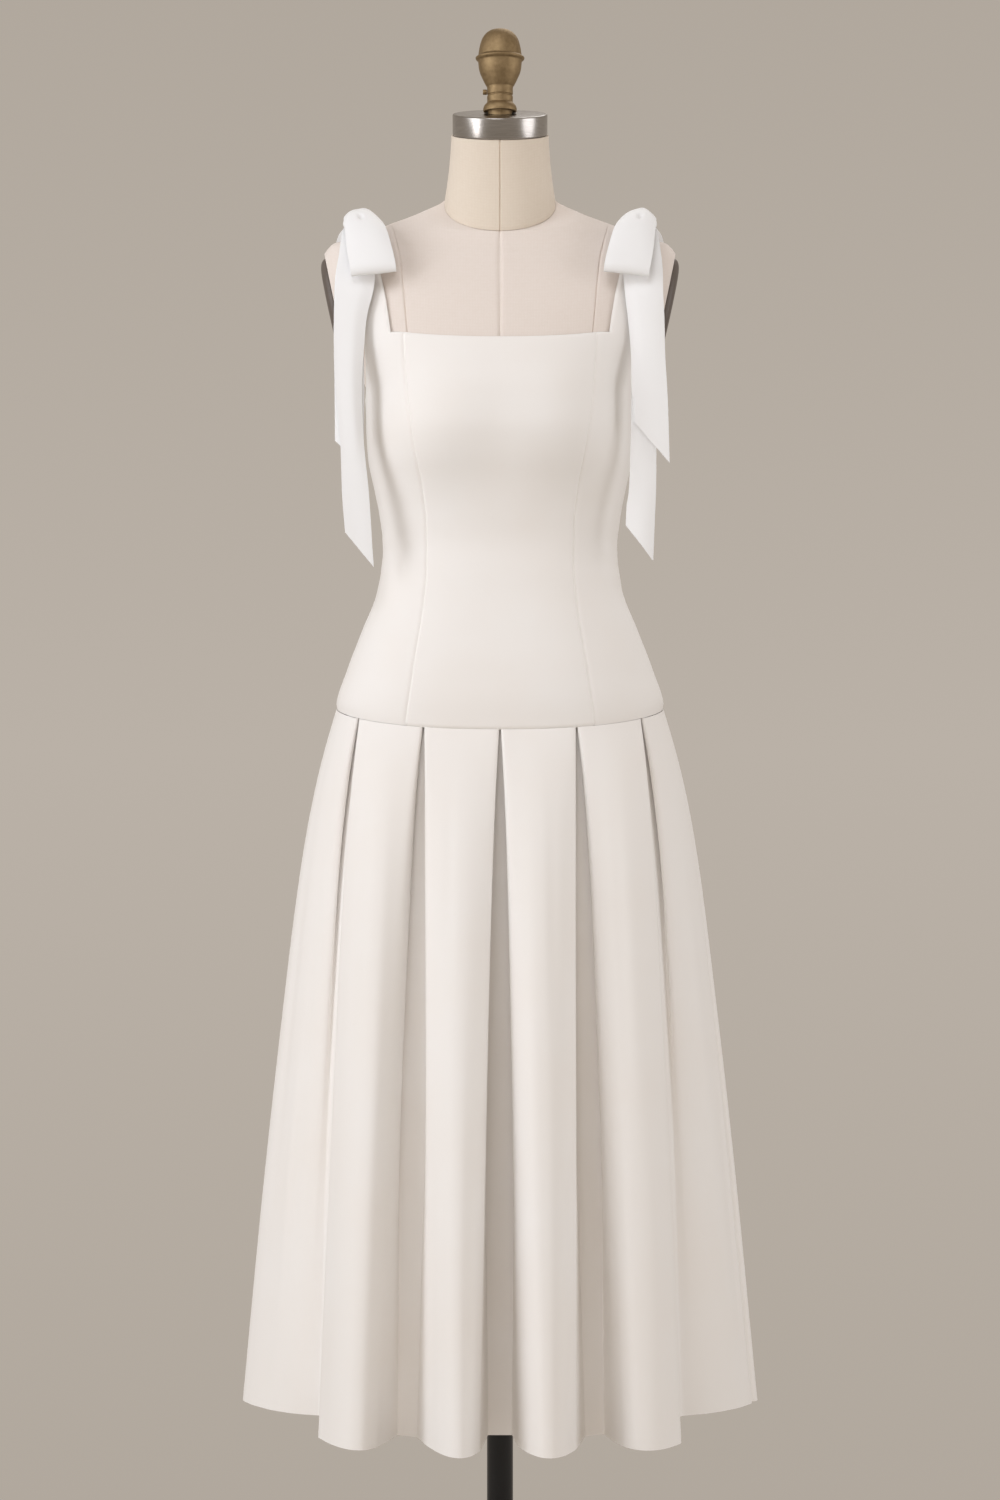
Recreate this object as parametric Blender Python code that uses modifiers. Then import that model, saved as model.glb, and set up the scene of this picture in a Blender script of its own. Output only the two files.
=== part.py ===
"""A dropped-waist dress with a box-pleated skirt and tied shoulder bows, on a limbless dress form.

Metres, +Z up, origin at the centre of the stand's foot. The front of the dress faces -Y.
"""

import bisect
import math

import bmesh
import bpy
from mathutils import Matrix, Vector

# ---------------------------------------------------------------- driving sizes
MM = 0.001
SEAM_GAP = 0.3 * MM          # between pieces that meet
WALL = 1.5 * MM              # the dress cloth
BOW_WALL = 1.2 * MM          # the tied ends
EASE = 3.4 * MM              # form's skin to the outside of the dress above the waist

HEM_Z = 0.250
HIP_SEAM_SIDE_Z = 0.936      # the dropped waist at the side seams
HIP_SEAM_DIP = 0.021         # how far it dips at the centre front and back
HIP_DIP_POWER = 1.25
NECKLINE_Z = 1.298
NECKLINE_HALF = 0.1065
UNDERARM_Z = 1.240

POLE_RADIUS = 13 * MM
BASE_RADIUS = 0.190
BASE_HEIGHT = 12 * MM
FORM_BOTTOM_Z = 0.835
CAP_RADIUS = 47.2 * MM
CAP_HEIGHT = 21 * MM
CAP_TILT = math.radians(17)  # the cap leans forward
CAP_TOP = Vector((0.0, -0.020, 1.527))
NECK_SEAM_CENTRE = Vector((0.0, 0.0, 1.440))
NECK_SEAM_TILT = math.radians(33)
ARM_CUT_X = 0.167
ARM_CUT_Z = 1.352
ARM_CUT_TILT = math.radians(12)
ARM_PLATE_THICK = 7.5 * MM
ARM_PLATE_HALF = (50 * MM, 36.5 * MM)
ARM_PLATE_FACE = 0.86        # the outer face's share of the whole, as its edge is domed
ARM_PLATE_DROP = 15 * MM     # from the armhole cut's middle down to the plate's middle

FORM_COLUMNS = ("height", "half_width", "front", "back", "squareness")
FORM_SECTIONS = (            # the form's skin, in millimetres
    (835, 140.0, 86.0, 98.0, 2.3),
    (880, 148.0, 95.0, 105.0, 2.3),
    (937, 151.5, 100.0, 108.0, 2.3),
    (975, 143.0, 97.5, 107.0, 2.3),
    (1013, 131.5, 92.0, 100.0, 2.3),
    (1054, 118.0, 86.0, 90.5, 2.25),
    (1096, 113.9, 83.6, 84.0, 2.2),
    (1127, 116.8, 88.0, 85.0, 2.2),
    (1155, 122.1, 95.0, 88.5, 2.25),
    (1184, 128.1, 105.0, 93.5, 2.3),
    (1215, 130.3, 112.0, 98.0, 2.3),
    (1245, 131.4, 113.0, 101.0, 2.3),
    (1270, 141.0, 109.0, 102.5, 2.3),
    (1298, 157.0, 102.5, 102.5, 2.3),
    (1330, 171.0, 91.0, 99.5, 2.3),
    (1360, 178.0, 77.0, 92.0, 2.3),
    (1380, 178.5, 67.0, 84.0, 2.2),
    (1392, 172.0, 60.0, 77.0, 2.1),
    (1405, 146.0, 55.0, 69.0, 1.9),
    (1419, 114.0, 53.0, 65.0, 1.55),
    (1432, 80.0, 53.0, 61.0, 1.45),
    (1443, 60.0, 53.0, 57.5, 1.6),
    (1460, 54.0, 51.0, 51.5, 2.0),
    (1495, 50.0, 47.0, 41.0, 2.0),
)
EASE_AT = ((0.900, 12.0 * MM), (0.937, 12.0 * MM), (0.975, 9.5 * MM), (1.013, 6.5 * MM),
           (1.054, 4.5 * MM), (1.096, EASE), (1.500, EASE))  # height, form's skin to dress outside
BUST_RISE = 9 * MM           # fullness of the bust over the plain sections
BUST_X = 0.066
BUST_Z = 1.205
BUST_WIDTH = 0.050
BUST_HEIGHT = 0.052

PRINCESS_SEAM = (            # height, distance from the centre line
    (0.905, 0.0930), (0.922, 0.0915), (0.955, 0.0868), (0.995, 0.0810), (1.035, 0.0750),
    (1.075, 0.0718), (1.110, 0.0718), (1.150, 0.0755), (1.190, 0.0830), (1.230, 0.0887),
    (1.262, 0.0915), (1.298, 0.0940),
)
SIDE_ROW_COLUMNS = ("inner_x", "inner_z", "outer_x", "outer_z", "lift")
SIDE_FRONT_ROWS = (          # side front above the underarm, up into its strap, in millimetres
    (92.6, 1276.0, 133.2, 1243.5, 0.0),
    (93.6, 1290.0, 131.4, 1255.0, 0.0),
    (94.0, 1298.0, 131.0, 1272.0, 0.0),
    (106.5, 1298.0, 132.6, 1293.0, 0.0),
    (109.5, 1322.0, 137.2, 1320.0, 0.2),
    (114.5, 1350.0, 143.0, 1348.0, 0.6),
    (119.5, 1374.0, 148.0, 1372.0, 1.2),
    (124.0, 1392.0, 151.0, 1390.0, 2.4),
    (126.0, 1399.0, 151.5, 1397.0, 3.4),
    (127.5, 1403.5, 151.0, 1399.5, 3.4),
    (130.0, 1408.5, 149.5, 1402.0, 3.4),
)

PANELS = 12                  # box panels round the hip
PLEAT_RETURN = 24 * MM       # how far each fold turns under at the seam
PLEAT_LAYER = 3.4 * MM       # layer to layer at the seam
PLEAT_PARTING = 1.25 * MM    # half the way between two fold edges at the seam
FOLD_REACH = 2.2 * MM        # how much of each fold is round at the seam
PANEL_INNER_POINTS = 4
SKIRT_LEVELS = (0.0, 0.04, 0.12, 0.23, 0.38, 0.57, 0.78, 1.0)
SKIRT_FLARE = (              # how far down, how much of the flare is reached
    (0.0, 0.0), (0.055, 0.12), (0.0975, 0.20), (0.167, 0.306), (0.25, 0.404),
    (0.44, 0.58), (0.68, 0.777), (1.0, 1.0),
)
HEM_COLUMNS = ("left_x", "left_y", "recess_x", "recess_y", "recess_half", "right_x", "right_y",
               "left_roll", "right_roll", "apex_x", "apex_y")
HEM_OPENINGS = (             # each opening's plan at the hem, in millimetres, from -X to +X;
                             # the apex is that of the panel on its +X side
    (-258, 17, -172, 0, 14, -257, -17, 10, 10, -238, -52),
    (-202, -84, -173, -97, 5, -170, -186, 14, 5, -133, -237),
    (-106, -203, -87, -180, 11, -67, -222, 12, 9, -40, -268),
    (-19, -243, 0, -175, 12, 18, -226, 5, 9, 44, -269),
    (70, -235, 89, -176, 11, 107, -204, 5, 12, 134, -238),
    (168, -210, 174, -98, 5, 202, -84, 5, 14, 239, -52),
    (257, -17, 172, 0, 14, 258, 17, 10, 10, 238, 52),
)

FRONT_LOOP = (               # x times the side, y, z, width, drop of the outer edge, crown across it
    (139, -14.8, 1424.5, 22, 0, 7.5), (138.5, -26, 1423.5, 28, 0, 8), (136, -48, 1417.5, 35, 0, 7.5),
    (131.5, -68.5, 1404, 40, 1.5, 4.5), (127, -81.5, 1382, 43.5, 3, 2.5), (123.5, -89, 1365, 44, 4.5, 1.6),
    (122.5, -87.5, 1357.5, 43.5, 5, 0), (122.5, -81.5, 1360, 43, 5, -1), (124.5, -76, 1375, 42, 3.5, -1.6),
    (129, -66.5, 1395, 38, 2, -3), (134.5, -48, 1411, 31, 0, -6), (138, -29, 1418.5, 24, 0, -6),
)
BACK_LOOP = (
    (140, 14.8, 1424.5, 22, 0, 7.5), (142, 26, 1423.5, 27, 0, 7.5), (147, 46, 1416, 35, 0, 6.5),
    (149, 67, 1401, 39, -1, 4), (149.5, 86, 1378, 41, -2, 2.5), (149.5, 97, 1359, 42, -3, 1.6),
    (149, 95.5, 1352, 42, -3, 0), (148.5, 89, 1355, 41, -3, -1), (148, 83, 1370, 40, -2, -1.6),
    (146, 70, 1391, 36, -1, -3), (143, 48, 1410, 29, 0, -6), (140, 30, 1418.5, 23, 0, -6),
)
LONG_TAIL = {                # per shoulder side: x times the side, y, z, width, drop of the +X edge
    -1: (
        (143, -19, 1415, 14, 0), (143, -35, 1412, 20, 0), (141.5, -51, 1403.5, 27, 0),
        (140, -65.5, 1386.5, 33, 0), (140, -74, 1365, 36.5, 0), (141.5, -78.5, 1343, 36, 0),
        (145.5, -80, 1318, 32, 0), (147, -80.5, 1290, 29.5, 0), (147.3, -80.5, 1250, 25.5, 0),
        (144, -80.5, 1195, 23, 0), (141, -80, 1150, 26, 0), (138.5, -79.5, 1112, 28, 0),
        (136.8, -79, 1090, 28, 34),
    ),
    1: (
        (144, -17.5, 1411, 12, 0), (144.5, -33, 1408.5, 18, 0), (144, -48, 1399, 24, 0),
        (143.5, -62, 1381, 28, 0), (143.5, -69.5, 1360, 30, 0), (143.5, -73.5, 1341, 30, 0),
        (144, -76, 1300, 28, 0), (142, -76, 1250, 27, 0), (140, -76, 1195, 25, 0), (139, -75, 1150, 26, 0),
        (137, -74, 1120, 26.5, 0), (136, -73.5, 1097, 26.5, 35),
    ),
}
SHORT_TAIL = {
    -1: (
        (144, -17.5, 1411, 12, 0), (144.5, -33, 1408.5, 18, 0), (144, -48, 1399, 24, 0),
        (143.5, -62, 1381, 28, 0), (145, -69.5, 1360, 31, 0), (146, -73, 1341, 31, 0),
        (147.5, -74.5, 1300, 29, 0), (146.8, -74, 1250, 29, 0), (147, -74, 1205, 28, 0),
        (147, -74, 1183, 28, 28),
    ),
    1: (
        (143, -19, 1415, 14, 0), (143, -35, 1412, 20, 0), (141.5, -51, 1403.5, 27, 0),
        (140, -65.5, 1386.5, 33, 0), (139.5, -74, 1365, 38, 0), (140.3, -79, 1340, 37, 0),
        (142.4, -81, 1313, 35, 0), (144, -82.5, 1280, 33, 0), (145, -83.5, 1250, 34.5, 0),
        (146.5, -83.5, 1222, 35, 0), (147.4, -83, 1194.5, 35, 41),
    ),
}
KNOT_CENTRE = (139.0, 0.0, 1426.0)
KNOT_HALF = (15.0, 13.0, 10.5)

FINIAL_PROFILE = (           # radius, height above the middle of the cap's top, millimetres
    (6.0, 83.5), (11.5, 81.4), (16.0, 77.2), (19.0, 71.0), (20.4, 65.5), (21.8, 57.8),
    (24.1, 55.8), (24.1, 54.6), (22.2, 52.4), (21.4, 50.0), (20.9, 45.0), (19.2, 38.8),
    (16.4, 32.5), (13.8, 28.0), (12.7, 26.4), (12.7, 20.2), (11.9, 19.3), (11.9, 18.3),
    (12.7, 17.4), (12.7, 11.4), (15.4, 8.2), (16.5, 5.6), (16.6, -8.0),
)
SCREW_STEPS = 28

COLOURS = {                  # base colour, roughness, metallic
    "crepe": ((0.90, 0.87, 0.83), 0.75, 0.0),
    "linen": ((0.76, 0.68, 0.60), 0.90, 0.0),
    "steel": ((0.60, 0.59, 0.58), 0.30, 1.0),
    "antiqued_brass": ((0.42, 0.32, 0.19), 0.38, 1.0),
    "plate_brown": ((0.10, 0.085, 0.07), 0.55, 0.0),
    "black_enamel": ((0.012, 0.012, 0.012), 0.40, 0.0),
}


# ---------------------------------------------------------------- helpers
def through(points, at):
    """The value at a place on the smooth curve through (place, value) points, with no overshoot."""
    places = [place for place, _ in points]
    at = min(max(at, places[0]), places[-1])
    span = min(max(bisect.bisect_right(places, at) - 1, 0), len(points) - 2)

    def slope(index):
        if index in (0, len(points) - 1):
            near = max(index - 1, 0)
            return rise(near)
        before, after = rise(index - 1), rise(index)
        return 0.0 if before * after <= 0 else 2 * before * after / (before + after)

    def rise(index):
        (a, low), (b, high) = points[index], points[index + 1]
        return (high - low) / (b - a)

    (start, low), (end, high) = points[span], points[span + 1]
    length = end - start
    part = (at - start) / length
    return (
        low * (1 + 2 * part) * (1 - part) ** 2
        + high * part**2 * (3 - 2 * part)
        + slope(span) * length * part * (1 - part) ** 2
        - slope(span + 1) * length * part**2 * (1 - part)
    )


FORM_CURVES = {
    name: [(row[0] * MM, row[column] * (1 if name == "squareness" else MM)) for row in FORM_SECTIONS]
    for column, name in enumerate(FORM_COLUMNS)
    if column
}


def section(height, out):
    """Half width, front depth, back depth and exponent of the form's section, grown by out."""
    half, front, back = (through(FORM_CURVES[name], height) + out for name in FORM_COLUMNS[1:4])
    return half, front, back, 2 / through(FORM_CURVES["squareness"], height)


def bust_rise(x, height):
    across = (abs(x) - BUST_X) / BUST_WIDTH
    up = (height - BUST_Z) / BUST_HEIGHT
    return BUST_RISE * math.exp(-(across**2) - up**2)


def skin_point(angle, height, out=0.0):
    """A point on the form's skin, or out outside it. Angle 0 is the centre front, 90 degrees +X."""
    half, front, back, power = section(height, out)
    across, along = math.sin(angle), math.cos(angle)
    x = math.copysign(half * abs(across) ** power, across)
    depth = front if along > 0 else back
    y = -math.copysign(depth * abs(along) ** power, along)
    if along > 0:
        y -= bust_rise(x, height) * min(1.0, abs(along) * 2)
    return Vector((x, y, height))


def angle_at(x, height, out=0.0):
    """The angle, from 0 to 90 degrees, at which the section is x from the centre line."""
    half, _, _, power = section(height, out)
    return math.asin(min(1.0, abs(x) / half) ** (1 / power))


def ease(height):
    return through(EASE_AT, height)


def seam_height(angle):
    """The dropped waist seam, lowest at the centre front and back."""
    return HIP_SEAM_SIDE_Z - HIP_SEAM_DIP * abs(math.cos(angle)) ** HIP_DIP_POWER


def material(name):
    found = bpy.data.materials.get(name)
    if found:
        return found
    colour, roughness, metallic = COLOURS[name]
    made = bpy.data.materials.new(name)
    made.use_nodes = True
    shader = made.node_tree.nodes["Principled BSDF"]
    shader.inputs["Base Color"].default_value = (*colour, 1.0)
    shader.inputs["Roughness"].default_value = roughness
    shader.inputs["Metallic"].default_value = metallic
    made.diffuse_color = (*colour, 1.0)
    return made


def add_object(name, mesh, surface, collection=None):
    made = bpy.data.objects.new(name, mesh)
    if surface:
        mesh.materials.append(material(surface))
    mesh.shade_smooth()
    mesh.set_sharp_from_angle(angle=math.radians(40))
    (collection or dress_collection).objects.link(made)
    return made


def sheet(name, rows, surface, thick=WALL, offset=1.0):
    """A wall of cloth from rows of points: an open surface with its thickness."""
    width = len(rows[0])
    faces = [
        (r * width + c, r * width + c + 1, (r + 1) * width + c + 1, (r + 1) * width + c)
        for r in range(len(rows) - 1)
        for c in range(width - 1)
    ]
    mesh = bpy.data.meshes.new(name)
    mesh.from_pydata([point for row in rows for point in row], [], faces)
    made = add_object(name, mesh, surface)
    wall = made.modifiers.new("wall", "SOLIDIFY")
    wall.thickness = thick
    wall.offset = offset
    return made


def loft(name, rings, surface, collection=None):
    """A closed body through rings of points, listed from the bottom up and anticlockwise from above."""
    count = len(rings[0])
    faces = [
        (r * count + c, r * count + (c + 1) % count, (r + 1) * count + (c + 1) % count, (r + 1) * count + c)
        for r in range(len(rings) - 1)
        for c in range(count)
    ]
    faces.append(tuple(reversed(range(count))))
    faces.append(tuple(range((len(rings) - 1) * count, len(rings) * count)))
    mesh = bpy.data.meshes.new(name)
    mesh.from_pydata([point for ring in rings for point in ring], [], faces)
    return add_object(name, mesh, surface, collection)


def turned(name, profile, surface, steps=SCREW_STEPS):
    """A turned piece: a profile from its top down its outer side, with both ends on the axis."""
    points = [(0.0, 0.0, profile[0][1]), *((r, 0.0, z) for r, z in profile), (0.0, 0.0, profile[-1][1])]
    mesh = bpy.data.meshes.new(name)
    mesh.from_pydata(points, [(i, i + 1) for i in range(len(points) - 1)], [])
    made = add_object(name, mesh, surface)
    screw = made.modifiers.new("turning", "SCREW")
    screw.steps = steps
    screw.render_steps = steps
    screw.use_merge_vertices = True
    screw.merge_threshold = 0.00001
    return made


def half_space(name, centre, tilt_x, tilt_y, upward):
    """A large cutter on one side of a tilted plane through centre."""
    size = 0.6
    mesh = bpy.data.meshes.new(name)
    shape = bmesh.new()
    bmesh.ops.create_cube(shape, size=size)
    bmesh.ops.translate(shape, verts=shape.verts, vec=(0, 0, size / 2 if upward else -size / 2))
    shape.to_mesh(mesh)
    shape.free()
    made = add_object(name, mesh, None, cutter_collection)
    made.rotation_euler = (tilt_x, tilt_y, 0)
    made.location = centre
    made.hide_render = True
    made.display_type = "WIRE"
    return made


def cut(target, cutter):
    boolean = target.modifiers.new("cut_" + cutter.name, "BOOLEAN")
    boolean.operation = "DIFFERENCE"
    boolean.object = cutter


def smooth_line(points, count):
    """Count points along the smooth curve through the given ones, evenly by their spacing."""
    lengths = [0.0]
    for before, after in zip(points, points[1:]):
        lengths.append(lengths[-1] + max((Vector(after[:3]) - Vector(before[:3])).length, 1e-6))
    curves = [list(zip(lengths, column)) for column in zip(*points)]
    places = [lengths[-1] * i / (count - 1) for i in range(count)]
    return [tuple(natural(curve, place) for curve in curves) for place in places]


def natural(points, at):
    """As through, but a Catmull-Rom curve, which keeps a loop round at its turn."""
    places = [place for place, _ in points]
    span = min(max(bisect.bisect_right(places, at) - 1, 0), len(points) - 2)
    (start, low), (end, high) = points[span], points[span + 1]
    before = points[max(span - 1, 0)]
    after = points[min(span + 2, len(points) - 1)]
    slope_in = (high - before[1]) / (end - before[0])
    slope_out = (after[1] - low) / (after[0] - start)
    length = end - start
    part = (at - start) / length
    return (
        low * (1 + 2 * part) * (1 - part) ** 2
        + high * part**2 * (3 - 2 * part)
        + slope_in * length * part * (1 - part) ** 2
        - slope_out * length * part**2 * (1 - part)
    )


# ---------------------------------------------------------------- bodice
PANEL_ROWS = 9               # rows from the dropped waist to the underarm
PRINCESS_ROW_TOP = 1.262     # where the underarm's row meets the princess seam
CENTRE_COLUMNS = 9
CENTRE_BACK_RADIUS = 0.1     # about how far the centre-back seam is from the middle
SIDE_COLUMNS = 6


def dress_skin(angle, height, lift=0.0):
    """The inside of the dress wall, which Solidify thickens outwards."""
    return skin_point(angle, height, ease(height) - WALL + lift)


def panel_angle(x, height):
    return angle_at(x, height, ease(height) - WALL)


def princess_heights():
    """Where the rows of both panels meet the princess seam, from the dropped waist up."""
    low = seam_height(panel_angle(through(PRINCESS_SEAM, 0.92), 0.92)) + SEAM_GAP
    level = [low + (PRINCESS_ROW_TOP - low) * row / (PANEL_ROWS - 1) for row in range(PANEL_ROWS)]
    return level + [row[1] * MM for row in SIDE_FRONT_ROWS if row[0] < NECKLINE_HALF / MM]


def seam_shares():
    heights = princess_heights()
    return [(height - heights[0]) / (heights[-1] - heights[0]) for height in heights]


def bodice_centre(name, back, start, end):
    """A panel between the princess seams, from start to end as shares of their half distance."""
    rows = []
    for up in seam_shares():
        line = []
        for column in range(CENTRE_COLUMNS):
            share = start + (end - start) * column / (CENTRE_COLUMNS - 1)
            low = seam_height(share * panel_angle(through(PRINCESS_SEAM, 0.92), 0.92)) + SEAM_GAP
            height = low + (NECKLINE_Z - low) * up
            edge = through(PRINCESS_SEAM, height) - SEAM_GAP / 2
            angle = share * panel_angle(edge, height)
            if back and share == 0:
                angle = math.copysign(SEAM_GAP / 2 / CENTRE_BACK_RADIUS, start + end)
            line.append(dress_skin(math.pi - angle if back else angle, height))
        rows.append(line)
    return sheet(name, rows, "crepe")


def bodice_side(name, side, back):
    """A side panel from the princess seam to the side seam, cut in one with its strap."""
    rows = []
    for row in range(PANEL_ROWS):
        up = row / (PANEL_ROWS - 1)
        inner_z = princess_heights()[row]
        outer_low = HIP_SEAM_SIDE_Z + SEAM_GAP
        outer_z = outer_low + (UNDERARM_Z - outer_low) * up
        inner = panel_angle(through(PRINCESS_SEAM, inner_z) + SEAM_GAP / 2, inner_z)
        outer = math.pi / 2 - SEAM_GAP / 2 / 0.13
        rows.append((inner, inner_z, outer, outer_z, 0.0))
    for values in SIDE_FRONT_ROWS:
        row = dict(zip(SIDE_ROW_COLUMNS, (value * MM for value in values)))
        inner = panel_angle(row["inner_x"] + SEAM_GAP / 2, row["inner_z"])
        outer = panel_angle(row["outer_x"], row["outer_z"])
        rows.append((inner, row["inner_z"], outer, row["outer_z"], row["lift"]))
    points = []
    for row_number, (inner, inner_z, outer, outer_z, lift) in enumerate(rows):
        line = []
        for column in range(SIDE_COLUMNS):
            share = column / (SIDE_COLUMNS - 1)
            angle = inner + (outer - inner) * share
            height = inner_z + (outer_z - inner_z) * share
            if row_number == 0:
                height = seam_height(angle) + SEAM_GAP
            line.append(dress_skin(side * (math.pi - angle if back else angle), height, lift))
        points.append(line)
    if (side < 0) != back:
        points = [list(reversed(line)) for line in points]
    return sheet(name, points, "crepe")


# ---------------------------------------------------------------- skirt
def hip_line():
    """Points round the dropped waist from the centre back by -X to the front and round, with lengths."""
    steps = 720
    angles = [math.radians(-180 + 360 * i / steps) for i in range(steps + 1)]
    points = []
    for angle in angles:
        height = seam_height(angle)
        points.append(skin_point(angle, height, ease(height) - WALL / 2))
    lengths = [0.0]
    for before, after in zip(points, points[1:]):
        lengths.append(lengths[-1] + (after.xy - before.xy).length)
    return angles, points, lengths


HIP_ANGLES, HIP_POINTS, HIP_LENGTHS = hip_line()
HIP_GIRTH = HIP_LENGTHS[-1]


def hip_point(along, inset):
    """A point in plan on the hip line at a length along it, moved in by inset, and its seam height."""
    along = along % HIP_GIRTH
    index = min(bisect.bisect_right(HIP_LENGTHS, along), len(HIP_LENGTHS) - 1)
    part = (along - HIP_LENGTHS[index - 1]) / (HIP_LENGTHS[index] - HIP_LENGTHS[index - 1])
    before, after = HIP_POINTS[index - 1].xy, HIP_POINTS[index].xy
    direction = (after - before).normalized()
    outward = Vector((direction.y, -direction.x))
    angle = HIP_ANGLES[index - 1] + (HIP_ANGLES[index] - HIP_ANGLES[index - 1]) * part
    return before.lerp(after, part) - outward * inset, seam_height(angle) - SEAM_GAP


def hem_openings(back):
    """The openings' plan at the hem as dicts of vectors, the back turned half round from the front."""
    turn = -1 if back else 1
    found = []
    for values in HEM_OPENINGS:
        row = dict(zip(HEM_COLUMNS, (value * MM for value in values)))
        found.append({
            "left": Vector((row["left_x"], row["left_y"])) * turn,
            "right": Vector((row["right_x"], row["right_y"])) * turn,
            "recess": Vector((row["recess_x"], row["recess_y"])) * turn,
            "apex": Vector((row["apex_x"], row["apex_y"])) * turn,
            "half": row["recess_half"],
            "left_roll": row["left_roll"],
            "right_roll": row["right_roll"],
        })
    return found


def rounded(before, corner, after, reach):
    """Start, middle and end of a rounded corner."""
    start = corner + (before - corner).normalized() * min(reach, (before - corner).length * 0.45)
    end = corner + (after - corner).normalized() * min(reach, (after - corner).length * 0.45)
    return [start, (start + corner * 2 + end) / 4, end]


def bowed(start, apex, end, part):
    """A point on the curve from start by apex to end."""
    middle = apex * 2 - (start + end) / 2
    return start * (1 - part) ** 2 + middle * 2 * part * (1 - part) + end * part**2


def hem_pleat(this, following):
    """The plan at the hem from one recess's middle to the next: half recess, fold, panel, fold."""
    across_this = Vector((-this["recess"].y, this["recess"].x)).normalized()
    across_next = Vector((-following["recess"].y, following["recess"].x)).normalized()
    inner_a = this["recess"] + across_this * this["half"]
    inner_b = following["recess"] - across_next * following["half"]
    edge_a, edge_b, apex = this["right"], following["left"], this["apex"]
    shares = [(i + 1) / (PANEL_INNER_POINTS + 1) for i in range(PANEL_INNER_POINTS)]
    panel = [bowed(edge_a, apex, edge_b, share) for share in shares]
    return [
        this["recess"],
        *rounded(this["recess"], inner_a, edge_a, FOLD_REACH),
        *rounded(inner_a, edge_a, panel[0], this["right_roll"]),
        *panel,
        *rounded(panel[-1], edge_b, inner_b, following["left_roll"]),
        *rounded(edge_b, inner_b, following["recess"], FOLD_REACH),
    ]


def seam_pleat(number):
    """The same points at the dropped waist, where the layers lie folded on each other."""
    pitch = HIP_GIRTH / PANELS
    start, end = number * pitch, (number + 1) * pitch
    near, far = PLEAT_PARTING, PLEAT_RETURN
    fold = FOLD_REACH
    layer = PLEAT_LAYER
    first = start + near + fold
    last = end - near - fold
    shares = [(i + 1) / (PANEL_INNER_POINTS + 1) for i in range(PANEL_INNER_POINTS)]
    places = [
        (start, layer * 2),
        (start + far - fold, layer * 2), (start + far, layer * 1.5), (start + far - fold, layer),
        (first, layer), (start + near, layer / 2), (first, 0.0),
        *((first + (last - first) * share, 0.0) for share in shares),
        (last, 0.0), (end - near, layer / 2), (last, layer),
        (end - far + fold, layer), (end - far, layer * 1.5), (end - far + fold, layer * 2),
    ]
    return [hip_point(along, inset) for along, inset in places]


def skirt(name, back):
    """Half the skirt, of six box panels, from one side seam to the other."""
    openings = hem_openings(back)
    half = PANELS // 2
    first = PANELS // 4 if not back else PANELS // 4 + half
    top, bottom = [], []
    for number in range(half):
        top.extend(seam_pleat(first + number))
        bottom.extend(hem_pleat(openings[number], openings[number + 1]))
    top.append(hip_point((first + half) * HIP_GIRTH / PANELS, PLEAT_LAYER * 2))
    bottom.append(openings[half]["recess"])
    top[0] = hip_point(first * HIP_GIRTH / PANELS + SEAM_GAP, PLEAT_LAYER * 2)
    top[-1] = hip_point((first + half) * HIP_GIRTH / PANELS - SEAM_GAP, PLEAT_LAYER * 2)
    inward = Vector((0, -SEAM_GAP if not back else SEAM_GAP))
    bottom[0] = bottom[0] + inward
    bottom[-1] = bottom[-1] + inward
    rows = []
    for level in reversed(SKIRT_LEVELS):
        flare = through(SKIRT_FLARE, level)
        line = []
        for (seam_plan, seam_z), hem_plan in zip(top, bottom):
            plan = seam_plan.lerp(hem_plan, flare)
            line.append((plan.x, plan.y, seam_z + (HEM_Z - seam_z) * level))
        rows.append(line)
    return sheet(name, rows, "crepe", offset=0.0)


# ---------------------------------------------------------------- bows
LOOP_POINTS = 15
TAIL_POINTS = 10


def ribbon(name, rows, side, count):
    """A strip along a centre line, crowned a little across its width."""
    line = smooth_line([tuple(value * MM for value in row) for row in rows], count)
    shares = (-0.5, -0.17, 0.17, 0.5)
    points = []
    for index, (x, y, z, width, slope, crown) in enumerate(line):
        before, after = line[max(index - 1, 0)], line[min(index + 1, len(line) - 1)]
        along = Vector((after[0] - before[0], after[1] - before[1], after[2] - before[2])).normalized()
        outward = along.cross(Vector((1, 0, 0))).normalized()
        row = []
        for share in shares:
            rise = crown * (1 - (2 * share) ** 2)
            place = Vector((side * x + share * width, y, z - side * share * slope)) + outward * rise
            row.append(place)
        points.append(row)
    return sheet(name, points, "crepe", thick=BOW_WALL, offset=0.0)


def tail(name, rows, side):
    """A hanging end: its last row is cut on the slant, the rows above it are level."""
    line = smooth_line([tuple(value * MM for value in row[:4]) for row in rows[:-1]], TAIL_POINTS)
    x, y, z, width, slope = (value * MM for value in rows[-1])
    shares = (-0.5, -0.17, 0.17, 0.5)
    points = []
    for px, py, pz, pwidth in line:
        points.append([
            Vector((side * px + share * pwidth, py - 1.5 * MM * (1 - (2 * share) ** 2), pz)) for share in shares
        ])
    points.append([
        Vector((side * x + share * width, y - 1.5 * MM * (1 - (2 * share) ** 2), z - share * slope))
        for share in shares
    ])
    return sheet(name, points, "crepe", thick=BOW_WALL, offset=0.0)


def knot(name, side):
    mesh = bpy.data.meshes.new(name)
    shape = bmesh.new()
    bmesh.ops.create_uvsphere(shape, u_segments=16, v_segments=9, radius=1.0)
    bmesh.ops.scale(shape, verts=shape.verts, vec=[value * MM for value in KNOT_HALF])
    shape.to_mesh(mesh)
    shape.free()
    made = add_object(name, mesh, "crepe")
    made.location = (side * KNOT_CENTRE[0] * MM, KNOT_CENTRE[1] * MM, KNOT_CENTRE[2] * MM)
    return made


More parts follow.
